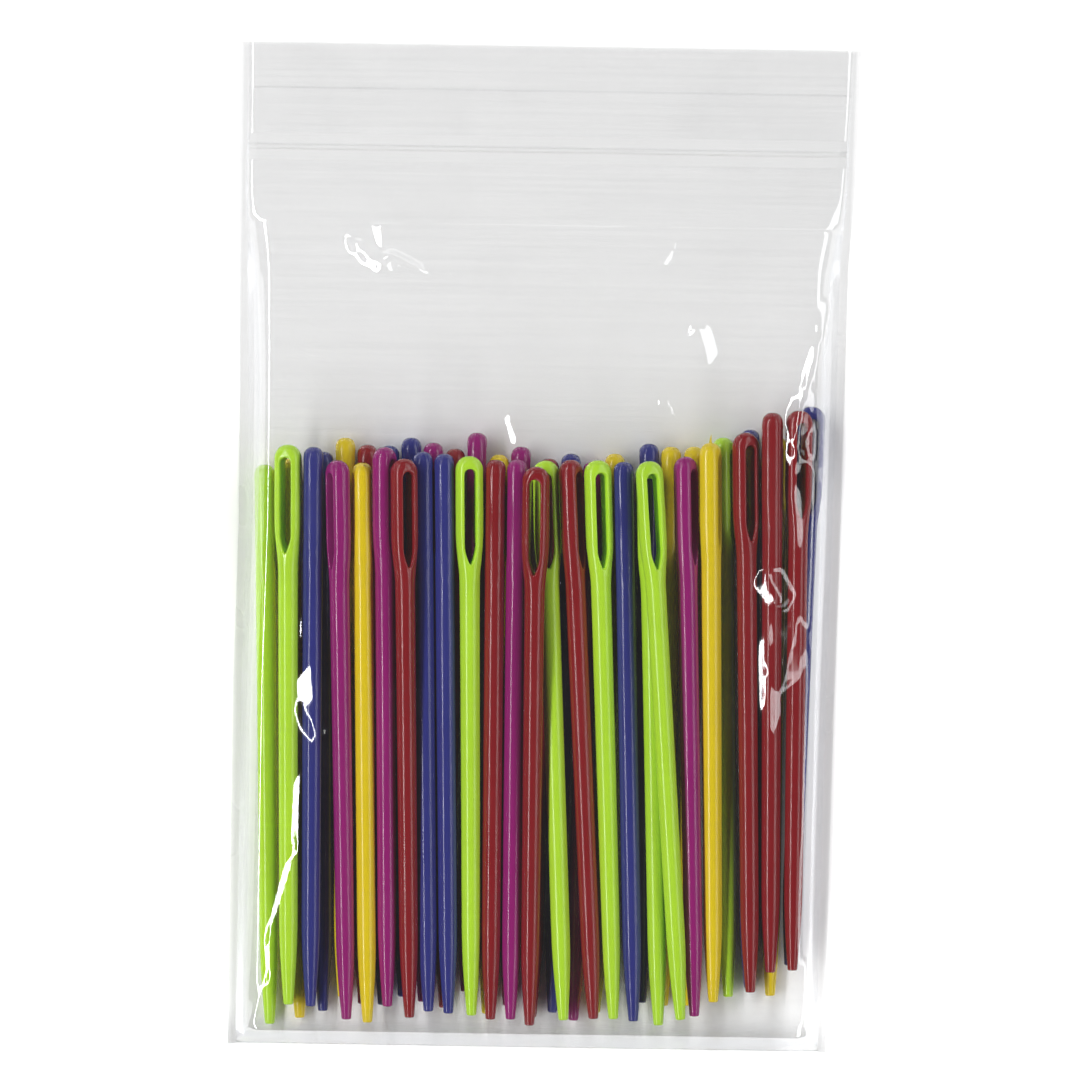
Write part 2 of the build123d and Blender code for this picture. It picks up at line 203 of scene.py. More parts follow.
class SurfaceGroup:
    """A shader group with named inputs and outputs, on Object coordinates."""

    name = ""
    inputs: dict[str, object] = {}
    outputs: tuple[str, ...] = ()

    def build(self) -> NodeTree:
        """Builds the group.

        Returns:
            The node group.
        """
        group = bpy.data.node_groups.new(self.name, "ShaderNodeTree")
        for name, default in self.inputs.items():
            kind = "NodeSocketFloat" if isinstance(default, float) else "NodeSocketColor"
            group.interface.new_socket(name, in_out="INPUT", socket_type=kind).default_value = default
        for name in self.outputs:
            kind = "NodeSocketColor" if name == "Colour" else "NodeSocketFloat"
            group.interface.new_socket(name, in_out="OUTPUT", socket_type=kind)
        made = Tree(group)
        inside, out = made.add("NodeGroupInput"), made.add("NodeGroupOutput")
        place = made.add("ShaderNodeTexCoord").outputs["Object"]
        for name, value in self.surface(made, inside.outputs, place).items():
            made.feed(out.inputs[name], value)
        return group

    def surface(self, made: Tree, inside: Sequence[Socket], place: Socket) -> dict[str, Socket]:
        """Makes the group's nodes.

        Args:
            made: the helper on the group's tree.
            inside: the group's inputs.
            place: the Object coordinates.

        Returns:
            The value of each output.
        """
        raise NotImplementedError


class MouldedSkin(SurfaceGroup):
    """The needles' skin: flow marks in the colour, and a dulled, scuffed gloss."""

    name = "moulded_skin"
    inputs = {"Colour": (0.5, 0.5, 0.5, 1.0), "Flow": 0.1, "Roughness": 0.2}
    outputs = ("Colour", "Roughness", "Height")

    def surface(self, made: Tree, inside: Sequence[Socket], place: Socket) -> dict[str, Socket]:
        """Makes the nodes of the needles' skin."""
        streaks = made.drawn_noise(place, (900.0, 60.0, 900.0), 3.0)
        clouds = made.noise(place, 130.0, 2.0)
        grain = made.noise(place, 2600.0, 2.0)
        flow = made.sums("SUBTRACT", made.sums("ADD", streaks, clouds), 1.0)
        value = made.sums("ADD", made.sums("MULTIPLY", flow, inside["Flow"]), 1.0)
        tint = made.add("ShaderNodeHueSaturation", {"Color": inside["Colour"], "Value": value})
        worn = made.sums("ADD", made.about_zero(clouds, 0.25), made.about_zero(grain, 0.12))
        return {
            "Colour": tint.outputs["Color"],
            "Roughness": made.sums("ADD", worn, inside["Roughness"], clamp=True),
            "Height": made.sums("ADD", made.sums("MULTIPLY", streaks, 0.5), grain),
        }


class FilmFace(SurfaceGroup):
    """The bag's film: cloudy patches, drawn lines, a soft ripple, and painted shade near the fold, where more cover
    darkens the strip below the needle tips.
    """

    name = "film_face"
    inputs = {"Cover": 0.05, "Haze": 0.05, "Roughness": 0.08, "Lines": 0.2}
    outputs = ("Cover", "Roughness", "Height")
    # Painted shade: where near the fold the film stops more light, so that strip renders darker.
    painted_shade_span = (-57.5 * MM, -62.5 * MM)
    painted_shade_cover = 0.150

    def surface(self, made: Tree, inside: Sequence[Socket], place: Socket) -> dict[str, Socket]:
        """Makes the nodes of the film's face."""
        clouds = made.noise(place, 60.0, 3.0, distortion=0.8)
        patch = made.ramp(clouds, (0.48, 0.75))
        lines = made.drawn_noise(place, (25.0, 2200.0, 25.0), 2.0)
        ripple = made.noise(place, 420.0, 3.0)
        cloudy = made.sums("MULTIPLY", patch, inside["Haze"])
        drawn = made.sums("MULTIPLY", made.about_zero(lines, 0.06), inside["Lines"])
        along = made.add("ShaderNodeSeparateXYZ", {0: place}).outputs["Y"]
        # Painted shade: more cover towards the fold darkens that strip of film, standing in for the shade below the
        # needle tips.
        pressed = made.ramp(along, self.painted_shade_span, (0.0, self.painted_shade_cover), "SMOOTHSTEP")
        milky = made.sums("ADD", made.sums("ADD", cloudy, drawn), pressed)
        dull = made.sums("MULTIPLY", patch, 0.10)
        marks = made.sums("MULTIPLY", lines, inside["Lines"])
        return {
            "Cover": made.sums("ADD", milky, inside["Cover"], clamp=True),
            "Roughness": made.sums("ADD", dull, inside["Roughness"], clamp=True),
            "Height": made.sums("ADD", marks, ripple),
        }


def start_material(name: str, group: NodeTree, values: dict) -> tuple[Material, Tree, Sequence, Sequence]:
    """Starts a material with one shared group in it, whose roughness it uses.

    Args:
        name: the material's name.
        group: the shared group.
        values: the values of the group's inputs.

    Returns:
        The material, the helper on its tree, the shader's inputs and the group's outputs.
    """
    material = bpy.data.materials.new(name)
    material.use_nodes = True
    tree = Tree(material.node_tree)
    shader = material.node_tree.nodes["Principled BSDF"].inputs
    face = tree.add("ShaderNodeGroup", node_tree=group)
    for socket_name, value in values.items():
        tree.feed(face.inputs[socket_name], value)
    tree.feed(shader["Roughness"], face.outputs["Roughness"])
    return material, tree, shader, face.outputs


def add_bump(tree: Tree, height: Socket, normal: Socket, strength: float, distance: float) -> None:
    """Joins a height to a shader's normal."""
    bump = tree.add("ShaderNodeBump", {"Strength": strength, "Distance": distance, "Height": height})
    tree.feed(normal, bump.outputs["Normal"])


def plastic_material(finish: PlasticFinish, skin: NodeTree) -> Material:
    """Makes the material of one needle colour from its finish and the shared skin."""
    values = {"Colour": (*finish.colour.value, 1.0), "Flow": finish.flow, "Roughness": finish.roughness}
    material, tree, shader, face = start_material(finish.colour.plastic, skin, values)
    add_bump(tree, face["Height"], shader["Normal"], strength=0.004, distance=0.03 * MM)
    tree.feed(shader["Base Color"], face["Colour"])
    shader["IOR"].default_value = 1.5
    return material


def film_material(finish: FilmFinish, group: NodeTree) -> Material:
    """Makes the material of one part of the film.

    Args:
        finish: how clear and how glossy that part is.
        group: the shared group of the film's face.

    Returns:
        The material.
    """
    values = {"Cover": finish.cover, "Haze": finish.haze, "Roughness": finish.roughness, "Lines": finish.lines}
    material, tree, shader, face = start_material(finish.name, group, values)
    if finish.milky:
        tree.feed(shader["Base Color"], face["Cover"])
        shader["Specular IOR Level"].default_value = 0.2
        return material
    add_bump(tree, face["Height"], shader["Normal"], strength=0.045, distance=0.04 * MM)
    slant = tree.add("ShaderNodeLayerWeight", {"Blend": 0.12})
    edge = tree.sums("MULTIPLY", slant.outputs["Fresnel"], 0.34)
    tree.feed(shader["Alpha"], tree.sums("ADD", face["Cover"], edge, clamp=True))
    shader["Base Color"].default_value = (0.90, 0.91, 0.93, 1.0)
    shader["Metallic"].default_value = 0.90
    return material


class Finishes:
    """Every finish of the object, built once."""

    def __init__(self) -> None:
        """Builds the shared groups and the materials."""
        skin = MouldedSkin().build()
        face = FilmFace().build()
        light, deep = (0.10, 0.20), (0.14, 0.17)
        looks = {Colour.GREEN: light, Colour.BLUE: deep, Colour.PURPLE: deep, Colour.YELLOW: light, Colour.RED: deep}
        self.plastic = {colour: plastic_material(PlasticFinish(colour, *look), skin) for colour, look in looks.items()}
        films = (
            FilmFinish("front_film", cover=0.068, haze=0.014, roughness=0.05, lines=0.8),
            FilmFinish("back_film", cover=0.068, haze=0.010, roughness=0.10, lines=0.4),
            FilmFinish("weld", cover=0.095, haze=0.020, roughness=0.22, lines=0.6),
            FilmFinish("zip_plastic", cover=0.050, haze=0.010, roughness=0.14, lines=0.3),
            FilmFinish("zip_milky", cover=0.84, haze=0.020, roughness=0.30, lines=0.3, milky=True),
        )
        self.front, self.back, self.weld, self.zip, self.milky = (film_material(film, face) for film in films)


def fit(piece: Piece, body: str, slot: str, *nodes: str) -> Piece:
    """Puts a finished piece on its body and hides the CAD nodes that it replaces.

    Args:
        piece: the piece.
        body: the body that it moves with.
        slot: not used.
        nodes: the CAD nodes that it replaces.

    Returns:
        The piece.
    """
    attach(piece, body)
    if nodes:
        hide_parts(*nodes)
    return piece


def face_outwards(piece: Piece) -> None:
    """Turns all faces of a closed mesh outwards."""
    shape = bmesh.new()
    shape.from_mesh(piece.data)
    bmesh.ops.recalc_face_normals(shape, faces=shape.faces)
    shape.to_mesh(piece.data)
    shape.free()


def make_mesh(name: str, points: Array, faces: Sequence[Sequence[int]], material: Material) -> Piece:
    """Makes a smooth mesh object at the origin.

    Args:
        name: the object's name.
        points: its points, one row each.
        faces: the corners of each face.
        material: its one material.

    Returns:
        The object, linked to the scene.
    """
    mesh = bpy.data.meshes.new(name)
    mesh.from_pydata([tuple(p) for p in points.tolist()], [], [tuple(f) for f in faces])
    mesh.validate()
    mesh.materials.append(material)
    mesh.shade_smooth()
    made = bpy.data.objects.new(name, mesh)
    bpy.context.scene.collection.objects.link(made)
    return made


class GrowingTree:
    """A geometry tree that makes a smooth piece from a base mesh and sets its material."""

    name = ""
    inputs: dict[str, str] = {}

    def build(self) -> NodeTree:
        """Builds the tree, which ends in real geometry.

        Returns:
            The geometry tree.
        """
        tree = bpy.data.node_groups.new(self.name, "GeometryNodeTree")
        for name, kind in {"Geometry": "Geometry", **self.inputs, "Finish": "Material"}.items():
            tree.interface.new_socket(name, in_out="INPUT", socket_type=f"NodeSocket{kind}")
        tree.interface.new_socket("Geometry", in_out="OUTPUT", socket_type="NodeSocketGeometry")
        made = Tree(tree)
        inside, out = made.add("NodeGroupInput").outputs, made.add("NodeGroupOutput").inputs
        last = self.shape(made, inside)
        for kind in ("SetShadeSmooth", "RealizeInstances"):
            last = made.add(f"GeometryNode{kind}", {"Geometry": last}).outputs["Geometry"]
        dress = made.add("GeometryNodeSetMaterial", {"Geometry": last, "Material": inside["Finish"]})
        made.feed(out["Geometry"], dress.outputs["Geometry"])
        return tree

    def shape(self, made: Tree, inside: Sequence[Socket]) -> Socket:
        """Makes the piece's shape.

        Args:
            made: the helper on the tree.
            inside: the tree's inputs.

        Returns:
            The geometry.
        """
        raise NotImplementedError


class LaidInPlace(GrowingTree):
    """Lays one more copy of a moulded piece where the frame has it."""

    name = "laid_in_place"
    inputs = {"Tip": "Vector", "Turn": "Vector"}

    def shape(self, made: Tree, inside: Sequence[Socket]) -> Socket:
        """Turns and moves the copy."""
        turn = made.add("FunctionNodeEulerToRotation", {"Euler": inside["Turn"]}).outputs["Rotation"]
        values = {"Geometry": inside["Geometry"], "Translation": inside["Tip"], "Rotation": turn}
        return made.add("GeometryNodeTransform", values).outputs["Geometry"]


class BeadAlongLine(GrowingTree):
    """Lays a round bead of plastic along a line of edges."""

    name = "bead_along_line"
    inputs = {"Radius": "Float", "Sides": "Int"}

    def shape(self, made: Tree, inside: Sequence[Socket]) -> Socket:
        """Sweeps a ring along the line."""
        line = made.add("GeometryNodeMeshToCurve", {"Mesh": inside["Geometry"]}).outputs["Curve"]
        ring = made.add("GeometryNodeCurvePrimitiveCircle", {"Radius": inside["Radius"], "Resolution": inside["Sides"]})
        values = {"Curve": line, "Profile Curve": ring.outputs["Curve"], "Fill Caps": True}
        return made.add("GeometryNodeCurveToMesh", values).outputs["Mesh"]


def grow(name: str, base: Mesh, tree: NodeTree, values: dict[str, object]) -> Piece:
    """Runs a geometry tree on a mesh and keeps the result as a plain mesh.

    Args:
        name: the new piece's name.
        base: the mesh that the tree starts from.
        tree: the geometry tree.
        values: the value of each named input.

    Returns:
        The piece, with no modifier left on it.
    """
    made = bpy.data.objects.new(name, base)
    bpy.context.scene.collection.objects.link(made)
    modifier = made.modifiers.new(tree.name, "NODES")
    modifier.node_group = tree
    sockets = {item.name: item.identifier for item in tree.interface.items_tree if item.in_out == "INPUT"}
    for socket_name, value in values.items():
        modifier[sockets[socket_name]] = value
    ready = made.evaluated_get(bpy.context.evaluated_depsgraph_get())
    result = bpy.data.meshes.new_from_object(ready)
    made.modifiers.clear()
    made.data = result
    result.name = name
    return made


def let_light_through(piece: Piece) -> None:
    """Lets the lamps' light pass a thin clear piece, which still reflects and veils what is under it."""
    piece.visible_shadow = False
    piece.visible_diffuse = False


def fade(value: Array, start: float, span: float, low: float = 0.0) -> Array:
    """Rises from low at a start to 1 one span later, or falls where the span is negative."""
    return np.clip((value - start) / span, low, 1)


def smooth_step(k: Array) -> Array:
    """Eases a share from 0 to 1 at both ends."""
    return k * k * (3 - 2 * k)


@dataclass
class NeedleShape:
    """One moulded needle in its own frame: tip at the origin, along +Y, eye across X, thickness in Z.

    Its sizes are read off the frame's own needles where they show, and the rest are the mould's.
    """

    length: float = 70.0 * MM
    shank_radius: float = 1.25 * MM
    lower_radius: float = 1.17 * MM
    tip_radius: float = 0.6 * MM
    tip_rounding: float = 0.22 * MM
    point_length: float = 11.0 * MM
    eye_half: float = 1.7 * MM
    neck_start: float = 53.8 * MM
    neck_end: float = 60.4 * MM
    half_thickness: float = 1.25 * MM
    outer_round: float = 1.1 * MM
    slot_half: float = 0.75 * MM
    slot_foot_half: float = 0.18 * MM
    slot_bottom: float = 56.525 * MM
    slot_taper_end: float = 59.125 * MM
    slot_top: float = 68.425 * MM
    rim_round: float = 0.24 * MM
    seam: float = 0.02 * MM
    columns: tuple[float, ...] = (0.0, 0.05, 0.13, 0.24, 0.40, 0.56, 0.70, 0.82, 0.91, 0.97, 1.0)

    def neck_share(self, y: Array) -> Array:
        """How far the shank has turned into the eye at each y."""
        return smooth_step(fade(y, self.neck_start, self.neck_end - self.neck_start))

    def outer_half(self, y: Array) -> Array:
        """Half width of the outline at each y."""
        angle = fade(y, 0, self.point_length) * math.pi / 2
        point = self.tip_radius + (self.lower_radius - self.tip_radius) * np.sin(angle)
        tip = np.clip(1 - y / self.tip_rounding, 0, 1)
        point = point - self.tip_rounding * (1 - np.sqrt(np.clip(1 - tip**2, 0, 1)))
        grown = fade(y, self.point_length, self.neck_start - self.point_length)
        shank = point + (self.shank_radius - self.lower_radius) * grown
        half = shank + (self.eye_half - self.shank_radius) * self.neck_share(y)
        centre = self.length - self.eye_half
        crown = np.sqrt(np.clip(self.eye_half**2 - np.clip(y - centre, 0, None) ** 2, 0, None))
        return np.where(y > centre, crown, half)

    def slot_edge(self, y: Array) -> Array:
        """Half width of the slot at each y, or zero where there is no slot."""
        foot_centre = self.slot_bottom + self.slot_foot_half
        foot = np.sqrt(np.clip(self.slot_foot_half**2 - (foot_centre - y) ** 2, 0, None))
        k = fade(y, foot_centre, self.slot_taper_end - foot_centre)
        ease = k * (2 - k)
        side = self.slot_foot_half + (self.slot_half - self.slot_foot_half) * ease
        top_centre = self.slot_top - self.slot_half
        arch = np.sqrt(np.clip(self.slot_half**2 - np.clip(y - top_centre, 0, None) ** 2, 0, None))
        edge = np.where(y < foot_centre, foot, np.where(y > top_centre, arch, side))
        return np.where((y > self.slot_bottom) & (y < self.slot_top), edge, 0.0)

    def rows(self) -> Array:
        """Places of the rows of points along the needle."""
        tip = self.tip_rounding * (1 - np.cos(np.linspace(0, math.pi / 2, 6)))
        point = np.linspace(self.tip_rounding, self.point_length, 9)[1:]
        shank = np.linspace(self.point_length, self.neck_start, 11)[1:]
        neck = np.linspace(self.neck_start, self.slot_bottom - self.rim_round, 7)[1:]
        rim = self.slot_bottom - self.rim_round * np.array([0.7, 0.4, 0.15])
        turn = np.linspace(0, math.pi / 2, 5)
        foot = self.slot_bottom + self.slot_foot_half * (1 - np.cos(turn))
        taper = np.linspace(foot[-1], self.slot_taper_end, 9)[1:]
        top_centre = self.slot_top - self.slot_half
        sides = np.linspace(self.slot_taper_end, top_centre, 8)[1:]
        arch = top_centre + self.slot_half * np.sin(np.linspace(0, math.pi / 2, 9))[1:]
        over = self.slot_top + self.rim_round * np.array([0.15, 0.4, 0.7, 1.0])
        start = math.asin((over[-1] - self.length + self.eye_half) / self.eye_half)
        crown = self.length - self.eye_half + self.eye_half * np.sin(np.linspace(start, math.pi / 2, 12))[1:]
        return np.concatenate([tip, point, shank, neck, rim, foot, taper, sides, arch, over, crown])

    def outline(self) -> tuple[Array, Array]:
        """Fine points on the outer outline and on the slot's edge, to measure distances from."""
        y = np.concatenate([np.linspace(0, self.length, 1200), self.length - np.geomspace(1e-7, 1e-3, 60)])
        y = np.sort(y)
        outer = np.stack([self.outer_half(y), y], 1)
        s = self.slot_bottom + (self.slot_top - self.slot_bottom) * (1 - np.cos(np.linspace(0, math.pi, 500))) / 2
        inner = np.stack([self.slot_edge(s), s], 1)
        return outer, inner

    def height(self, x: Array, y: Array, outer: Array, inner: Array) -> Array:
        """Half thickness of the needle at points of its outline's plane.

        Args:
            x: distance of each point from the middle line, zero or more.
            y: place of each point along the needle.
            outer: fine points on the outer outline.
            inner: fine points on the slot's edge.

        Returns:
            The height of the upper face above the middle plane.
        """
        flat = np.stack([x.ravel(), y.ravel()], 1)
        to_outer, to_inner = (
            np.sqrt(((flat[:, None, :] - line[None, :, :]) ** 2).sum(2).min(1)).reshape(x.shape)
            for line in (outer, inner)
        )
        half = self.outer_half(y)
        k = self.neck_share(y)
        round_half = np.minimum(half, self.shank_radius)
        thick = round_half + (self.half_thickness - round_half) * k
        radius = round_half + (self.outer_round - round_half) * k
        body = np.where(y < self.neck_start, half - x, to_outer)
        depth = np.clip(body, 0, radius)
        top = thick - radius + np.sqrt(np.clip(radius**2 - (radius - depth) ** 2, 0, None))
        near = np.clip(to_inner, 0, self.rim_round)
        dip = self.rim_round - np.sqrt(np.clip(self.rim_round**2 - (self.rim_round - near) ** 2, 0, None))
        inside = (y > self.slot_bottom - self.rim_round) & (y < self.slot_top + self.rim_round)
        return np.where(inside, np.maximum(top - dip, 0.0), top)

    def build(self) -> tuple[Array, list[list[int]]]:
        """Makes the points and faces of one needle, one quarter of it after the other.

        Returns:
            Its points and its faces, all pointing outwards, with no doubles.
        """
        y = self.rows()
        share = np.array(self.columns)
        inner_x, outer_x = self.slot_edge(y), self.outer_half(y)
        x = inner_x[:, None] + (outer_x - inner_x)[:, None] * share[None, :]
        ys = np.repeat(y[:, None], len(share), 1)
        outer, inner = self.outline()
        z = self.height(x, ys, outer, inner)
        rows, cols = x.shape
        points: list[Array] = []
        index: dict[tuple[float, float, float], int] = {}

        def keep(px: float, py: float, pz: float) -> int:
            """Gives the number of a point, and keeps it if it is new."""
            key = (round(px * 1e7), round(py * 1e7), round(pz * 1e7))
            if key not in index:
                index[key] = len(points)
                points.append(np.array([px, py, pz]))
            return index[key]

        faces: list[list[int]] = []

        def patch(corners: Sequence[int]) -> None:
            """Keeps a face if it has an area."""
            ring = [c for i, c in enumerate(corners) if c != corners[i - 1]]
            if len(set(ring)) >= 3 and len(ring) == len(set(ring)):
                faces.append(ring)

        def strip(first: Sequence[int], second: Sequence[int], wanted: Sequence[int], forward: bool) -> None:
            """Joins two rows of points with faces, where they are wanted."""
            for i in wanted:
                ring = [first[i], first[i + 1], second[i + 1], second[i]]
                patch(ring if forward else ring[::-1])

        along, around = range(rows - 1), range(cols - 1)
        at_slot = [i for i in along if inner_x[i] > 0 or inner_x[i + 1] > 0]
        seam = x[:, -1] + np.where(z[:, -1] > 0, self.seam, 0)
        for side in (1, -1):
            upper, lower = (
                [[keep(side * x[i, j], ys[i, j], up * z[i, j]) for j in range(cols)] for i in range(rows)]
                for up in (1, -1)
            )
            for i in along:
                strip(upper[i], upper[i + 1], around, side > 0)
                strip(lower[i], lower[i + 1], around, side < 0)
            bulge = [keep(side * seam[i], ys[i, -1], 0.0) for i in range(rows)]
            strip([row[-1] for row in lower], bulge, along, side > 0)
            strip(bulge, [row[-1] for row in upper], along, side > 0)
            strip([row[0] for row in upper], [row[0] for row in lower], at_slot, side > 0)
        quarter = [(x[0, j], z[0, j]) for j in range(cols - 1, -1, -1)]
        half = quarter + [(-px, pz) for px, pz in quarter[-2::-1]]
        end = [keep(px, 0.0, pz) for px, pz in half] + [keep(-px, 0.0, -pz) for px, pz in half]
        faces.append(list(dict.fromkeys(end)))
        return np.array(points), faces


@dataclass
class NeedlePlace:
    """Where one needle of the frame lies: its tip and the three directions of its own frame."""

    tip: Array
    width: Array
    along: Array
    thick: Array

    @classmethod
    def of(cls, node: str, along: Sequence[float], shape: NeedleShape) -> "NeedlePlace":
        """Reads the place off a CAD needle.

        Args:
            node: the needle's node.
            along: the direction from its tip to its eye.
            shape: the needle's sizes.

        Returns:
            Its place.
        """
        mesh = frame["nodes"][node].data
        mesh.calc_loop_triangles()
        points = np.array([v.co for v in mesh.vertices], float)
        corners = np.array([t.vertices[:] for t in mesh.loop_triangles])
        axis = np.array(along, float) / np.linalg.norm(along)
        a, b, c = (points[corners[:, k]] for k in range(3))
        area = np.linalg.norm(np.cross(b - a, c - a), axis=1) / 2
        centre = (a + b + c) / 3
        low = float((points @ axis).min())
        reach = centre @ axis - low
        shank = (reach > shape.point_length) & (reach < shape.neck_start)
        middle = (centre[shank] * area[shank, None]).sum(0) / area[shank].sum()
        tip = middle + axis * (low - middle @ axis)
        eye = reach > shape.neck_end
        off = centre[eye] - tip
        off = off - np.outer(off @ axis, axis)
        spread = (off * area[eye, None]).T @ off
        values, vectors = np.linalg.eigh(spread)
        width = vectors[:, int(np.argmax(values))]
        width = width - axis * float(width @ axis)
        width = width / np.linalg.norm(width)
        if width[0] < 0:
            width = -width
        return cls(tip, width, axis, np.cross(width, axis))

    def turn(self) -> tuple[float, float, float]:
        """The turn from the needle's own frame to the bag's, as three angles."""
        rows = [[float(v[k]) for v in (self.width, self.along, self.thick)] for k in range(3)]
        return tuple(Matrix(rows).to_euler("XYZ"))


@dataclass(frozen=True)
class GateWisp:
    """The thin curl of plastic that the mould's gate left on one needle's eye."""

    node: str = "needle_40_yellow"
    length: float = 1.25 * MM
    radius: float = 0.22 * MM
    bend: float = 0.45 * MM
    rooted: float = 0.2 * MM
    blunt: float = 0.7
    sides: int = 10
    steps: int = 9

    def build(self, place: NeedlePlace, needle_length: float, material: Material) -> None:
        """Makes the curl on top of the eye.

        Args:
            place: where the needle lies.
            needle_length: the needle's length.
            material: the needle's plastic.
        """
        points = [place.tip + place.along * (needle_length - self.rooted)]
        around = np.linspace(0, 2 * math.pi, self.sides, endpoint=False)
        for t in np.linspace(0, 0.97, self.steps):
            centre = points[0] + place.along * self.length * t + place.width * self.bend * t * t
            radius = self.radius * (1 - t) ** self.blunt
            points += [centre + radius * (math.cos(a) * place.width + math.sin(a) * place.thick) for a in around]
        points.append(points[0] + place.along * self.length + place.width * self.bend)
        last, ring = len(points) - 1, self.sides
        faces = []
        for j in range(ring):
            k = (j + 1) % ring
            faces.append([0, 1 + k, 1 + j])
            for i in range(self.steps - 1):
                a, b = 1 + i * ring, 1 + (i + 1) * ring
                faces.append([a + j, a + k, b + k, b + j])
            faces.append([last - ring + j, last - ring + k, last])
        made = make_mesh(f"{self.node}_gate", np.array(points), faces, material)
        face_outwards(made)
        fit(made, self.node, Colour.of(self.node).plastic)


@dataclass
class Needles:
    """All the needles in the bag."""

    shape: NeedleShape = field(default_factory=NeedleShape)

    def build(self, finishes: Finishes) -> None:
        """Makes each needle where the frame has it.

        Args:
            finishes: the object's finishes.
        """
        points, faces = self.shape.build()
        pattern = bpy.data.meshes.new("needle_pattern")
        pattern.from_pydata(points.tolist(), [], faces)
        pattern.validate()
        tree = LaidInPlace().build()
        for joint in frame["joints"]:
            if joint["type"] != "slide":
                continue
            node = joint["child"]
            colour = Colour.of(node)
            place = NeedlePlace.of(node, joint["axis"], self.shape)
            values = {"Tip": tuple(place.tip), "Turn": place.turn(), "Finish": finishes.plastic[colour]}
            fit(grow(f"{node}_moulding", pattern, tree, values), node, colour.plastic, node)
            if node == GateWisp.node:
                GateWisp().build(place, self.shape.length, finishes.plastic[colour])
        log.info("needles: %d faces each", len(faces))


class Lamp(Enum):
    """The two lamps that the film and the needles mirror: side, and angle from straight above."""

    LEFT = (-1.0, 41.0)
    RIGHT = (1.0, 53.0)

    def mirror_slope(self, along: float) -> float:
        """How steep a surface is across the bag when it mirrors the lamp to a viewer straight above.

        Args:
            along: how steep it is along the bag.

        Returns:
            Its steepness across.
        """
        side, angle = self.value
        half = 1 / math.tan(math.radians(angle))
        return -side * (math.sqrt(half * half + max(0.0, 1 - along * along)) - half)


@dataclass(frozen=True)
class Crease:
    """A raised fold in the film, with flat flanks, one of which mirrors a lamp.

    Attributes:
        start: where it starts, across and along the bag, in millimetres.
        end: where it ends.
        width: how wide each flank is, in millimetres.
        lamp: the lamp that it mirrors.
        probe: how far round its middle the film's slope is read.
        steepest: the steepest flank.
        first: the flank that the search starts with.
        rounds: how often the search goes on.
        pointed: how sharply its ends taper.
    """

    start: tuple[float, float]
    end: tuple[float, float]
    width: float
    lamp: Lamp = Lamp.LEFT
    probe: float = 0.5 * MM
    steepest: float = 0.8
    first: float = 0.3
    rounds: int = 6
    pointed: float = 2.2

    def rise(self, x: Array, y: Array, ground: Callable) -> Array:
        """Height of the fold at each place.

        Args:
            x: places across.
            y: places along.
            ground: gives the film's height without the fold.

        Returns:
            The fold's height above that.
        """
        ax, ay = (v * MM for v in self.start)
        bx, by = (v * MM for v in self.end)
        dx, dy = bx - ax, by - ay
        length = math.hypot(dx, dy)
        across, along = abs(dy) / length, -dx * math.copysign(1.0, dy) / length
        side = self.lamp.value[0]
        mx, my, step = (ax + bx) / 2, (ay + by) / 2, self.probe
        around = ground(np.array([mx - step, mx + step, mx, mx]), np.array([my, my, my - step, my + step]))
        base_x, base_y = (around[1] - around[0]) / (2 * step), (around[3] - around[2]) / (2 * step)
        tilt = self.first
        for _ in range(self.rounds):
            wanted = self.lamp.mirror_slope(base_y - side * tilt * along)
            tilt = float(np.clip((wanted - base_x) * -side / across, 0.0, self.steepest))
        t = ((x - ax) * dx + (y - ay) * dy) / length**2
        off = np.abs((x - ax) * dy - (y - ay) * dx) / length
        taper = np.clip(self.pointed * (1 - np.abs(2 * t - 1)), 0, 1)
        return tilt * np.clip(self.width * MM * taper - off, 0, None)


def faceted(x: Array, y: Array, cell: tuple[float, float], shake: float, seed: int, bend: Callable) -> Array:
    """Flat facets at random heights, as stiff crumpled film has them.

    Args:
        x: places across.
        y: places along.
        cell: size of the facets across and along.
        shake: how far each corner is moved up or down at random.
        seed: which random moves to use.
        bend: gives how far the net of corners is shifted at a place.

    Returns:
        How far the facets lie above or below the smooth film at each place.
    """
    table = np.random.default_rng(seed).uniform(-1, 1, (64, 64))
    shift_x, shift_y = bend(x, y)
    u, v = (x + shift_x) / cell[0], (y + shift_y) / cell[1]
    i, j = np.floor(u).astype(int), np.floor(v).astype(int)
    s, t = u - i, v - j

    def corner(a: Array, b: Array) -> Array:
        """Height of one corner of the net."""
        return shake * table[a % 64, b % 64]

    z00, z10, z01, z11 = corner(i, j), corner(i + 1, j), corner(i, j + 1), corner(i + 1, j + 1)
    rising = np.where(s > t, z00 + (z10 - z00) * s + (z11 - z10) * t, z00 + (z01 - z00) * t + (z11 - z01) * s)
    near = z00 + (z10 - z00) * s + (z01 - z00) * t
    far = z11 + (z01 - z11) * (1 - s) + (z10 - z11) * (1 - t)
    falling = np.where(s + t < 1, near, far)
    return np.where((i + j) % 2 == 0, rising, falling)


def wave_noise(x: Array, y: Array, size: float, height: float, seed: int, waves: int = 9) -> Array:
    """Smooth noise from a few sine waves.

    Args:
        x: places across.
        y: places along.
        size: about how wide a wave is.
        height: about how high it is.
        seed: which random waves to use.
        waves: how many waves are added.

    Returns:
        The height at each place.
    """
    draw = np.random.default_rng(seed)
    total = np.zeros_like(x)
    for _ in range(waves):
        angle, phase = draw.uniform(0, math.pi), draw.uniform(0, 2 * math.pi)
        length = size * draw.uniform(0.6, 1.7)
        total += np.sin((x * math.cos(angle) + y * math.sin(angle)) * 2 * math.pi / length + phase)
    return total / math.sqrt(waves) * height


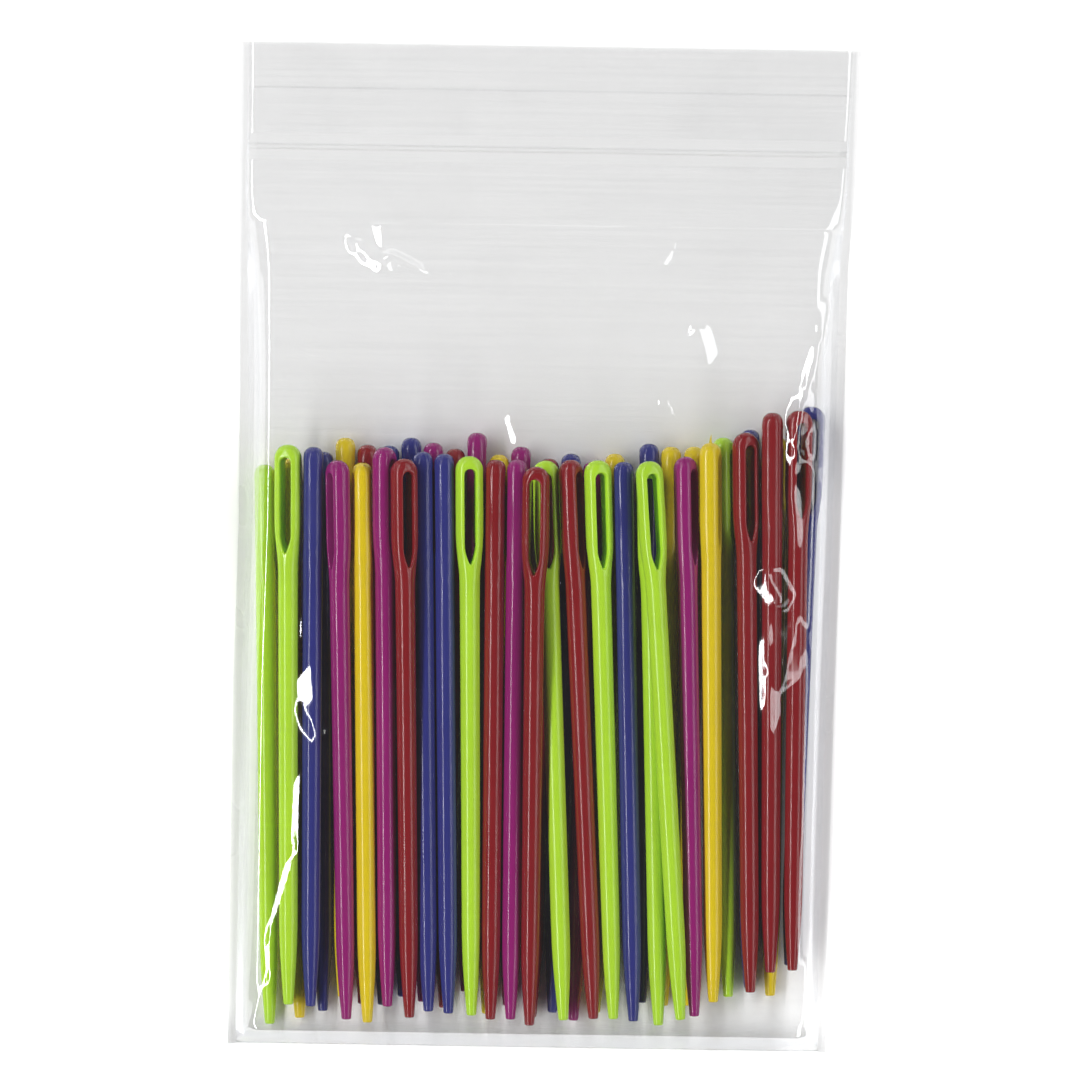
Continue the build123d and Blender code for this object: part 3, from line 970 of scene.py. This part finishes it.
@dataclass
class BagForm:
    """The bag's form, read off the frame, and the way its film lies over the needles."""

    thickness: float = 0.08 * MM
    seal_width: float = 1.0 * MM
    body_power: float = 4.0
    lip_power: float = 9.0
    flank_folds: tuple[tuple[float, float], ...] = ((0.0, 1.0), (0.50, 0.985), (0.93, 0.80), (0.965, 0.62), (1.0, 0.0))
    samples: int = 220

    def __post_init__(self) -> None:
        """Reads the outline and the film's heights off the frame."""
        self.hinge_y = float(frame["joints"][0]["pos_m"][1])
        self.low_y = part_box("side_seal_left")[0].y
        self.top_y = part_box("side_seal_left")[1].y
        self.zip_low, self.zip_high = (corner.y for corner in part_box("zip_rib"))
        self.fold_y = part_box("bottom_fold")[1].y
        self.left = self.edge_line("side_seal_left", min)
        self.right = self.edge_line("side_seal_right", max)
        self.heights = self.middle_heights()

    def edge_line(self, node: str, pick: Callable) -> Array:
        """The outer edge of a seal, as rows of y and x."""
        rows: dict[float, float] = {}
        for vertex in frame["nodes"][node].data.vertices:
            y = round(vertex.co.y, 6)
            rows[y] = pick(rows.get(y, vertex.co.x), vertex.co.x)
        return np.array(sorted(rows.items()))

    def middle_heights(self) -> tuple[Array, Array]:
        """Height of the front film along the bag's middle, smoothed, as y and z."""
        trees = []
        for node in ("front_film", "front_lip"):
            mesh = frame["nodes"][node].data
            mesh.calc_loop_triangles()
            points = [v.co for v in mesh.vertices]
            trees.append(BVHTree.FromPolygons(points, [t.vertices[:] for t in mesh.loop_triangles]))
        ys = np.linspace(self.fold_y, self.top_y, self.samples)
        found = []
        for y in ys:
            hits = [t.ray_cast(Vector((0.0, float(y), 1.0)), Vector((0, 0, -1)))[0] for t in trees]
            found.append(max((h.z for h in hits if h is not None), default=np.nan))
        z = np.array(found)
        known = ~np.isnan(z)
        z = np.interp(ys, ys[known], z[known])
        reach = 4
        kernel = np.hanning(2 * reach + 3)[1:-1]
        padded = np.concatenate([np.repeat(z[0], reach), z, np.repeat(z[-1], reach)])
        smooth = np.convolve(padded, kernel / kernel.sum(), "valid")
        lifted = np.where(ys < self.hinge_y, np.maximum(smooth, z), smooth)
        return ys, lifted

    def edges(self, y: Array) -> tuple[Array, Array]:
        """Left and right edge of the bag at each y."""
        return np.interp(y, *self.left.T), np.interp(y, *self.right.T)

    def across(self, x: Array, y: Array, inset: float) -> Array:
        """Place across the bag, from -1 at the left seal's inner edge to 1 at the right one's."""
        left, right = self.edges(y)
        return np.clip((x - (left + right) / 2) / ((right - left) / 2 - inset), -1, 1)

    def smooth_height(self, x: Array, y: Array) -> Array:
        """Height of the front film without its wrinkles."""
        u = np.abs(self.across(x, y, self.seal_width))
        k = fade(y, self.hinge_y, self.zip_low - self.hinge_y)
        power = self.body_power + (self.lip_power - self.body_power) * smooth_step(k)
        rise = np.clip(1 - u**power, 0, 1) ** (1 / power)
        rise = np.where(k == 0, np.interp(u, *np.array(self.flank_folds).T), rise)
        foot = 2 * self.thickness
        top = np.interp(y, *self.heights)
        return foot + np.clip(top - foot, 0, None) * rise


# Each crease, in millimetres: its start and its end, across and along the bag, the width of its flanks, and its lamp
# where that is the right one.
CREASES = (
    (-20.9, 41.6, -20.0, 34.2, 1.5), (-25.2, 38.6, -19.0, 33.6, 1.5), (-21.0, 36.8, -14.6, 33.6, 1.2),
    (-24.9, 40.4, -24.7, 36.8, 0.5), (-12.0, 35.6, -11.2, 32.0, 0.9), (16.4, 39.4, 13.2, 34.4, 1.1),
    (13.8, 35.2, 14.6, 31.4, 0.8, Lamp.RIGHT), (18.4, 28.8, 20.2, 22.6, 1.7), (14.0, 19.4, 16.0, 15.6, 1.0),
    (-4.6, 17.0, -2.6, 12.0, 1.4), (-1.0, 15.6, -1.8, 11.6, 0.7), (-35.8, 27.0, -34.4, 20.4, 1.2),
    (-29.8, -8.0, -29.4, -13.0, 0.7), (-28.4, -14.4, -28.0, -25.6, 2.2), (-30.4, -19.4, -26.6, -24.8, 1.4),
    (-29.4, -27.0, -29.8, -40.0, 1.4), (-29.6, -37.0, -33.6, -51.0, 1.3), (-33.3, -47.0, -32.7, -57.0, 1.1),
    (-32.5, -53.0, -36.6, -62.0, 1.0), (36.4, 33.0, 34.2, 25.6, 1.5), (34.6, 27.2, 32.4, 19.8, 1.6),
    (32.8, 21.6, 31.4, 14.0, 2.1), (31.8, 19.4, 31.0, 9.0, 1.5), (31.9, -7.6, 29.6, -18.0, 2.2),
    (30.6, 13.4, 34.6, 8.6, 0.9), (30.8, 9.4, 31.6, -1.0, 1.0, Lamp.RIGHT), (27.2, -2.0, 30.4, -7.6, 2.2),
    (28.0, -8.0, 28.6, -24.0, 1.4, Lamp.RIGHT), (10.4, 62.6, 11.4, 56.4, 0.7), (13.8, 62.6, 15.6, 58.0, 0.8),
    (34.0, -50.0, 33.4, -60.0, 1.2),
)


@dataclass
class Wrinkles:
    """The wrinkles of the front film: flat facets, fine folds along the needles and single creases.

    A fade is a start and a span. Each of the waves is a size, a height and a seed.
    """

    form: BagForm
    facet: tuple[float, float] = (5.2 * MM, 8.5 * MM)
    facet_seed: int = 21
    sway_across: tuple[float, float, int] = (17 * MM, 1.5 * MM, 3)
    sway_along: tuple[float, float, int] = (21 * MM, 2.4 * MM, 4)
    shake: float = 0.42 * MM
    lift: float = 0.35 * MM
    lowest: float = -0.06 * MM
    broad: tuple[float, float, int] = (24 * MM, 0.12 * MM, 11)
    folds: tuple[float, float, int] = (3.2 * MM, 0.035 * MM, 31)
    fold_stretch: float = 0.10
    open_along: tuple[float, float] = (8 * MM, 6 * MM)
    open_across: tuple[float, float] = (0.80, -0.15)
    open_calm: float = 0.55
    pressed_across: tuple[float, float] = (0.90, -0.30)
    pressed_least: float = 0.12
    rim_across: tuple[float, float] = (1.0, -0.05)
    fold_reach: float = 3 * MM
    tip_reach: float = 18 * MM
    tip_least: float = 0.3
    closing: float = 7 * MM
    lip_reach: float = 4 * MM
    lip_share: float = 0.55
    crease_rim: tuple[float, float] = (1.0, -0.02)
    creases: tuple[Crease, ...] = tuple(Crease(row[:2], row[2:4], *row[4:]) for row in CREASES)

    def bend(self, x: Array, y: Array) -> tuple[Array, Array]:
        """How far the net of facets is shifted at each place, so that it doesn't look woven."""
        return wave_noise(x, y, *self.sway_across), wave_noise(x, y, *self.sway_along)

    def height(self, x: Array, y: Array) -> Array:
        """How far the wrinkles lift the film at each place.

        Args:
            x: places across.
            y: places along.

        Returns:
            Heights above the smooth film.
        """
        form = self.form
        u = np.abs(form.across(x, y, form.seal_width))
        dx, dy = self.bend(x, y)
        flat = faceted(x, y, self.facet, self.shake, self.facet_seed, self.bend)
        waves = wave_noise(x, y, *self.broad) + wave_noise(x + dx, (y + dy) * self.fold_stretch, *self.folds)
        open_film = fade(y, *self.open_along) * fade(u, *self.open_across)
        total = flat * (1 - self.open_calm * open_film) + waves + np.where(y < form.hinge_y, self.lift, 0.0)
        left, right = form.edges(y)
        pressed = np.where(x < (left + right) / 2, fade(u, *self.pressed_across, self.pressed_least), 1.0)
        ends = fade(y, form.fold_y, self.fold_reach) * fade(y, form.fold_y, self.tip_reach, self.tip_least)
        lip = fade(y, form.zip_high, self.lip_reach) * self.lip_share
        mouth = np.where(y < form.zip_high, fade(y, form.zip_low, -self.closing), lip)
        return np.maximum(total * fade(u, *self.rim_across) * pressed * ends * mouth, self.lowest)

    def creased(self, x: Array, y: Array) -> Array:
        """How far the wrinkles and the single creases lift the film at each place."""
        form = self.form
        total = self.height(x, y)
        inside = fade(np.abs(form.across(x, y, form.seal_width)), *self.crease_rim)
        rim = fade(y, form.fold_y, MM) * fade(y, form.zip_low, -MM)
        rim = np.where(y > form.zip_high, fade(y, form.zip_high, MM), rim)
        for crease in self.creases:
            rise = crease.rise(x, y, lambda a, b: form.smooth_height(a, b) + self.height(a, b))
            total = total + rise * inside * rim
        return total


def sharpen_rim(piece: Piece, rim: Array) -> None:
    """Keeps the shading of a film's faces apart from its thin edge.

    Args:
        piece: the film.
        rim: for each point, 0 inside, 1 on the outer face's edge and 2 on the inner face's edge.
    """
    mesh = piece.data
    ends = np.empty(len(mesh.edges) * 2, int)
    mesh.edges.foreach_get("vertices", ends)
    ends = ends.reshape(-1, 2)
    first, second = rim[ends[:, 0]], rim[ends[:, 1]]
    mesh.edges.foreach_set("use_edge_sharp", (first > 0) & (first == second))


def shell(name: str, outer: Array, thickness: float, facing: Facing, material: Material) -> Piece:
    """Makes a closed film of even thickness from a grid of points on its outer face.

    Args:
        name: the piece's name.
        outer: points in rows along the bag and columns across it.
        thickness: the film's thickness.
        facing: which way its outer face looks.
        material: its material.

    Returns:
        The film.
    """
    rows, cols, _ = outer.shape
    if facing is Facing.ROUND:
        normal = np.cross(np.gradient(outer, axis=1), np.gradient(outer, axis=0))
        inner = outer - normal / np.linalg.norm(normal, axis=2, keepdims=True) * thickness
    else:
        inner = outer - np.array([0.0, 0.0, facing.value * thickness])
    points = np.concatenate([outer.reshape(-1, 3), inner.reshape(-1, 3)])
    count = rows * cols
    i, j = np.meshgrid(np.arange(rows - 1), np.arange(cols - 1), indexing="ij")
    a = (i * cols + j).ravel()
    quads = np.stack([a, a + 1, a + cols + 1, a + cols], 1)
    under = quads[:, ::-1] + count
    top, bottom = np.arange(cols - 1) + (rows - 1) * cols, np.arange(cols - 1)
    left, right = np.arange(rows - 1) * cols, np.arange(rows - 1) * cols + cols - 1
    rims = [
        np.stack([bottom + 1, bottom, bottom + count, bottom + 1 + count], 1),
        np.stack([top, top + 1, top + 1 + count, top + count], 1),
        np.stack([left, left + cols, left + cols + count, left + count], 1),
        np.stack([right + cols, right, right + count, right + cols + count], 1),
    ]
    faces = np.concatenate([quads, under, *rims])
    if facing is Facing.DOWN:
        faces = faces[:, ::-1]
    made = make_mesh(name, points, faces.tolist(), material)
    rim = np.zeros((2, rows, cols), int)
    for layer in (0, 1):
        rim[layer, [0, -1], :] = layer + 1
        rim[layer, :, [0, -1]] = layer + 1
    sharpen_rim(made, rim.ravel())
    let_light_through(made)
    return made


@dataclass(frozen=True)
class ZipProfile:
    """Near half of the zip's section, which the far half mirrors.

    Each point is a place along the bag from the zip's middle and a height, in millimetres.
    """

    rib: tuple[tuple[float, float], ...] = (
        (-1.70, 0.08), (-1.70, 0.23), (-0.18, 0.23), (-0.18, 0.55), (-0.34, 0.55), (-0.30, 0.66), (-0.12, 0.85),
    )
    groove: tuple[tuple[float, float], ...] = (
        (-1.70, 1.15), (-1.70, 0.92), (-1.40, 0.92), (-1.37, 0.78), (-1.23, 0.78), (-1.20, 0.92), (-0.66, 0.92),
        (-0.66, 0.44), (-0.62, 0.40), (-0.26, 0.40), (-0.24, 0.47), (-0.41, 0.52), (-0.41, 0.90),
    )
    roof: float = 1.15


def extrude(name: str, profile: Array, stations: Array, squeeze: Array, material: Material) -> Piece:
    """Makes a closed strip of one profile across the bag, pressed flatter where the bag is thin.

    Args:
        name: the piece's name.
        profile: places along the bag and heights, going round the section.
        stations: places across the bag.
        squeeze: how much of the profile's height is left at each station.
        material: its material.

    Returns:
        The strip, shaded flat.
    """
    count = len(profile)
    points = np.concatenate([
        np.stack([np.full(count, x), profile[:, 0], profile[:, 1] * s], 1) for x, s in zip(stations, squeeze)
    ])
    faces: list[list[int]] = []
    for i in range(len(stations) - 1):
        for j in range(count):
            k = (j + 1) % count
            faces.append([i * count + j, i * count + k, (i + 1) * count + k, (i + 1) * count + j])
    faces.append(list(range(count))[::-1])
    faces.append([(len(stations) - 1) * count + j for j in range(count)])
    made = make_mesh(name, points, faces, material)
    face_outwards(made)
    made.data.shade_flat()
    let_light_through(made)
    return made


@dataclass
class Bag:
    """The clear bag around the needles: two films, their welds, the zip and the lip."""

    form: BagForm = field(default_factory=BagForm)
    strip_width: float = 19.0 * MM
    carried: float = 8.0 * MM
    cell_x: float = 0.42 * MM
    cell_y: float = 0.42 * MM
    fold_rows: int = 9
    fold_columns: int = 160
    zip_columns: int = 64
    grip_columns: int = 60
    weld_step: float = 0.6 * MM
    weld_columns: int = 5

    def __post_init__(self) -> None:
        """Sets up the wrinkles on the bag's form."""
        self.wrinkles = Wrinkles(self.form)

    def grid(self, y_low: float, y_high: float, left: Callable, right: Callable) -> tuple[Array, Array]:
        """Places in rows and columns between two lines.

        Args:
            y_low: the first row.
            y_high: the last row.
            left: gives the left end of a row at y.
            right: gives the right end of a row at y.

        Returns:
            The places across and along.
        """
        rows = max(3, int((y_high - y_low) / self.cell_y) + 1)
        ys = np.linspace(y_low, y_high, rows)
        lefts, rights = left(ys), right(ys)
        cols = max(3, int((rights - lefts).max() / self.cell_x) + 1)
        share = np.linspace(0, 1, cols)
        x = lefts[:, None] + (rights - lefts)[:, None] * share[None, :]
        return x, np.repeat(ys[:, None], cols, 1)

    def front_points(self, x: Array, y: Array) -> Array:
        """Points on the front film's outer face."""
        z = self.form.smooth_height(x, y) + self.wrinkles.creased(x, y)
        return np.stack([x, y, np.maximum(z, 2 * self.form.thickness)], 2)

    def inner_left(self, y: Array) -> Array:
        """Inner edge of the left seal."""
        return self.form.edges(y)[0] + self.form.seal_width

    def inner_right(self, y: Array) -> Array:
        """Inner edge of the right seal."""
        return self.form.edges(y)[1] - self.form.seal_width

    @staticmethod
    def across_at(y: float, left: Callable, right: Callable, count: int) -> Array:
        """Evenly spaced places from the left end to the right end of a strip at y."""
        return np.linspace(float(left(y)), float(right(y)), count)

    def build(self, finishes: Finishes) -> None:
        """Makes every piece of the bag.

        Args:
            finishes: the object's finishes.
        """
        form = self.form
        x, y = self.grid(form.fold_y, form.hinge_y, self.inner_left, self.inner_right)
        points = self.front_points(x, y)
        front = shell("front_film_sheet", points, form.thickness, Facing.UP, finishes.front)
        fit(front, BAG, FILM_SLOT, "front_film")
        self.build_back(finishes, self.build_seals(finishes))
        self.build_lip(finishes)
        log.info("front film: %d faces", len(front.data.polygons))

    def build_back(self, finishes: Finishes, welds: Sequence[Piece]) -> None:
        """Makes the back film and the fold.

        Args:
            finishes: the object's finishes.
            welds: not used.
        """
        form = self.form
        x, y = self.grid(form.fold_y, form.top_y, self.inner_left, self.inner_right)
        x, y = x[::2, ::2], y[::2, ::2]
        points = np.stack([x, y, np.zeros_like(x)], 2)
        back = shell("back_film_sheet", points, form.thickness, Facing.DOWN, finishes.back)
        fit(back, BAG, FILM_SLOT, "back_film")
        low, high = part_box("bottom_fold")
        radius = (high.z - low.z) / 2
        turn, across = np.meshgrid(
            np.linspace(-math.pi / 2, -3 * math.pi / 2, self.fold_rows),
            np.linspace(low.x, high.x, self.fold_columns),
            indexing="ij",
        )
        bend = np.stack([across, high.y + radius * np.cos(turn), radius + radius * np.sin(turn)], 2)
        fold = shell("bottom_fold_bend", bend, form.thickness, Facing.ROUND, finishes.front)
        fit(fold, BAG, FILM_SLOT, "bottom_fold")

    def build_lip(self, finishes: Finishes) -> None:
        """Makes the front panel above the hinge line, the zip and the grip rib.

        The middle moves with the mouth. The strips at its sides stay welded to the seals, where they are.

        Args:
            finishes: the object's finishes.
        """
        form = self.form
        profile = ZipProfile()
        beads = BeadAlongLine().build()

        def seam(side: int) -> Callable:
            """The line between the middle and a side strip."""
            edge = self.inner_left if side < 0 else self.inner_right
            return lambda y: edge(y) - side * self.strip_width

        spans = (
            ("left", self.inner_left, seam(-1)),
            ("middle", seam(-1), seam(1)),
            ("right", seam(1), self.inner_right),
        )
        for name, left, right in spans:
            made = []
            for part, low, high in (("neck", form.hinge_y, form.zip_low), ("lip", form.zip_high, form.top_y)):
                x, y = self.grid(low, high, left, right)
                points = self.front_points(x, y)
                film = shell(f"{part}_{name}_sheet", points, form.thickness, Facing.UP, finishes.front)
                made.append((film, ("front_lip",) if part == "neck" else ()))
            made.append((self.zip_strip(name, profile.groove, left, right, finishes), ("zip_groove",)))
            made.append((self.grip(name, beads, left, right, finishes), ("grip_rib",)))
            for piece, nodes in made:
                if name == "middle":
                    fit(piece, MOUTH, FILM_SLOT, *nodes)
                else:
                    ends = (self.inner_left, seam(-1)) if name == "left" else (self.inner_right, seam(1))
                    start, end = (Vector((float(f(form.hinge_y)), form.hinge_y, 0.0)) for f in ends)
                    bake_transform(piece)
        rib = self.zip_strip("rib", profile.rib, self.inner_left, self.inner_right, finishes)
        rib.data.materials[0] = finishes.milky
        fit(rib, BAG, FILM_SLOT, "zip_rib")

    def zip_strip(self, name: str, section: Sequence, left: Callable, right: Callable, finishes: Finishes) -> Piece:
        """Makes one strip of the zip.

        Args:
            name: which strip it is.
            section: the near half of its section.
            left: gives its left end.
            right: gives its right end.
            finishes: the object's finishes.

        Returns:
            The strip.
        """
        form = self.form
        middle = (form.zip_low + form.zip_high) / 2
        stations = self.across_at(middle, left, right, self.zip_columns)
        height = form.smooth_height(stations, np.full_like(stations, middle))
        half = np.array(section) * MM
        shape = np.concatenate([half, half[::-1] * [-1, 1]]) + [middle, 0.0]
        return extrude(f"zip_{name}_strip", shape, stations, height / (ZipProfile().roof * MM), finishes.zip)

    def grip(self, name: str, tree: NodeTree, left: Callable, right: Callable, finishes: Finishes) -> Piece:
        """Makes the rib for the fingers on one part of the lip.

        Args:
            name: which part it is.
            tree: the geometry tree of a bead.
            left: gives its left end.
            right: gives its right end.
            finishes: the object's finishes.

        Returns:
            The rib.
        """
        low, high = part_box("grip_rib")
        y = (low.y + high.y) / 2
        x = self.across_at(y, left, right, self.grip_columns)
        line = self.front_points(x[None, :], np.full((1, len(x)), y))[0]
        mesh = bpy.data.meshes.new(f"grip_{name}_line")
        mesh.from_pydata(line.tolist(), [(k, k + 1) for k in range(len(line) - 1)], [])
        values = {"Radius": (high.z - low.z) * 0.9, "Sides": 8, "Finish": finishes.zip}
        bead = grow(f"grip_{name}_bead", mesh, tree, values)
        let_light_through(bead)
        return bead

    def build_seals(self, finishes: Finishes) -> list[Piece]:
        """Makes the welded strips at both sides.

        Args:
            finishes: the object's finishes.

        Returns:
            The two strips.
        """
        form = self.form
        made = []
        rows = max(3, int((form.top_y - form.low_y) / self.weld_step))
        ys = np.linspace(form.low_y, form.top_y, rows)
        left, right = form.edges(ys)
        for node, start in (("side_seal_left", left), ("side_seal_right", right - form.seal_width)):
            x = start[:, None] + form.seal_width * np.linspace(0, 1, self.weld_columns)[None, :]
            y = np.repeat(ys[:, None], self.weld_columns, 1)
            points = np.stack([x, y, np.full_like(x, 2 * form.thickness)], 2)
            piece = shell(f"{node}_weld", points, 2 * form.thickness, Facing.UP, finishes.weld)
            made.append(fit(piece, BAG, FILM_SLOT, node))
        return made


@dataclass(frozen=True)
class AreaLamp:
    """One long soft lamp beside the object.

    Attributes:
        name: its name.
        place: which side it stands on, and its angle.
        width: its width.
        radiance: how bright its face is.
        length: its length along the needles.
        distance: how far it stands from the middle.
    """

    name: str
    place: Lamp
    width: float
    radiance: float
    length: float = 2.4
    distance: float = 0.75

    def build(self) -> None:
        """Adds the lamp to the scene, facing the object."""
        side, tilt = self.place.value
        angle = math.radians(tilt)
        data = bpy.data.lights.new(self.name, "AREA")
        data.shape = "RECTANGLE"
        data.size, data.size_y = self.width, self.length
        data.energy = self.radiance * self.width * self.length * math.pi
        made = bpy.data.objects.new(self.name, data)
        made.location = Vector((side * math.sin(angle), 0, math.cos(angle))) * self.distance
        made.rotation_euler = (0.0, side * angle, 0.0)
        bpy.context.scene.collection.objects.link(made)


@dataclass
class Studio:
    """The floor, the lamps and the camera straight above.

    The floor has a little more light outside the bag's edge, and a painted glow beside the heap on the right that
    lightens the heap's shadow there. A reflection shows the studio's ceiling and its near end darker. A fade is where
    it starts and where it ends.
    """

    form: BagForm
    frame_width: float = 136.1 * MM
    camera_height: float = 1.6
    level: float = 4 * MM
    centre: tuple[float, float] = (0.16 * MM, 0.33 * MM)
    turn: float = math.radians(0.9)
    sensor: float = 36.0
    floor_half: float = 1.5
    lift: float = 0.20
    edge_fade: tuple[float, float] = (-0.4 * MM, 0.0)
    # Strength and fade of the painted glow that lightens the heap's shadow in the bag's right margin.
    painted_glow: float = 0.30
    painted_glow_fade: tuple[float, float] = (-6.5 * MM, -4.0 * MM)
    beside_heap: tuple[float, float] = (22 * MM, 6 * MM)
    soft_light: float = 0.48
    ceiling: float = 0.22
    ceiling_fade: tuple[float, float] = (0.25, 0.80)
    near_end: float = 0.15
    near_fade: tuple[float, float] = (-0.85, -0.25)

    def floor(self) -> None:
        """Makes the pale floor."""
        corners = ((-1, -1), (1, -1), (1, 1), (-1, 1))
        points = np.array([[x * self.floor_half, y * self.floor_half, -0.02 * MM] for x, y in corners])
        material = bpy.data.materials.new("pale_floor")
        material.use_nodes = True
        material.node_tree.nodes.clear()
        tree = Tree(material.node_tree)
        place = tree.add("ShaderNodeTexCoord").outputs["Object"]
        across, along, _ = tree.add("ShaderNodeSeparateXYZ", {0: place}).outputs
        outside = tree.sums("SUBTRACT", tree.sums("ABSOLUTE", along, 0.0), self.form.top_y)
        for side, edge in ((-1, self.form.left), (1, self.form.right)):
            slant, start = np.polyfit(edge[:, 0], edge[:, 1] * side, 1)
            line = tree.sums("ADD", tree.sums("MULTIPLY", along, float(slant)), float(start))
            past = tree.sums("SUBTRACT", tree.sums("MULTIPLY", across, float(side)), line)
            outside = tree.sums("MAXIMUM", outside, past)
        around = tree.sums("MULTIPLY", tree.ramp(outside, self.edge_fade), self.lift)
        # Painted light: a glow on the floor, seen by the camera and in reflections, lightens the heap's shadow in the
        # bag's right margin.
        right = tree.ramp(past, self.painted_glow_fade, (0.0, self.painted_glow))
        lift = tree.sums("ADD", around, tree.sums("MULTIPLY", right, tree.ramp(along, self.beside_heap)))
        ray = tree.add("ShaderNodeLightPath").outputs
        seen = tree.sums("MAXIMUM", ray["Is Camera Ray"], ray["Is Glossy Ray"])
        glow = tree.add("ShaderNodeEmission", {"Strength": tree.sums("MULTIPLY", lift, seen)})
        diffuse = tree.add("ShaderNodeBsdfDiffuse", {"Color": (0.95, 0.95, 0.95, 1.0)})
        both = tree.add("ShaderNodeAddShader", {0: diffuse.outputs[0], 1: glow.outputs[0]})
        tree.add("ShaderNodeOutputMaterial", {"Surface": both.outputs[0]})
        make_mesh("floor", points, [[0, 1, 2, 3]], material)

    def world(self) -> None:
        """Sets the soft light from all round, with a white background behind it."""
        world = bpy.data.worlds.new("studio")
        world.use_nodes = True
        bpy.context.scene.world = world
        tree = Tree(world.node_tree)
        way = tree.add("ShaderNodeTexCoord").outputs["Generated"]
        _, along, up = tree.add("ShaderNodeSeparateXYZ", {0: way}).outputs
        ray = tree.add("ShaderNodeLightPath").outputs
        mirrored = tree.sums("MAXIMUM", ray["Is Glossy Ray"], ray["Is Transmission Ray"])
        shown = tree.sums("MULTIPLY", mirrored, tree.ramp(up, self.ceiling_fade, (1.0, self.ceiling)))
        shown = tree.sums("MULTIPLY", shown, tree.ramp(along, self.near_fade, (self.near_end, 1.0)))
        clear = tree.sums("MAXIMUM", mirrored, ray["Is Camera Ray"])
        rest = tree.sums("MULTIPLY", tree.sums("SUBTRACT", 1.0, clear), self.soft_light)
        total = tree.sums("ADD", tree.sums("ADD", shown, ray["Is Camera Ray"]), rest)
        tree.feed(world.node_tree.nodes["Background"].inputs["Strength"], total)

    def camera(self) -> None:
        """Makes the camera, straight above and turned a little, as the photograph was taken."""
        data = bpy.data.cameras.new("camera")
        data.sensor_width = self.sensor
        data.lens = self.sensor * (self.camera_height - self.level) / self.frame_width
        data.clip_end = 20.0
        made = bpy.data.objects.new("camera", data)
        made.location = (*self.centre, self.camera_height)
        made.rotation_euler = (0.0, 0.0, self.turn)
        bpy.context.scene.collection.objects.link(made)
        bpy.context.scene.camera = made

    def build(self) -> None:
        """Sets up the whole studio."""
        bpy.context.scene.view_settings.view_transform = "Standard"
        self.camera()
        self.floor()
        self.world()
        AreaLamp("left_strip", Lamp.LEFT, width=0.105, radiance=14.0).build()
        AreaLamp("right_soft", Lamp.RIGHT, width=0.34, radiance=2.7).build()


def main() -> None:
    """Builds the object and its studio, piece by piece."""
    logging.basicConfig(level=logging.INFO, format="%(name)s: %(message)s")
    Studio(BagForm()).build()
    finishes = Finishes()
    Needles().build(finishes)
    Bag().build(finishes)


if __name__ == "__main__":
    main()
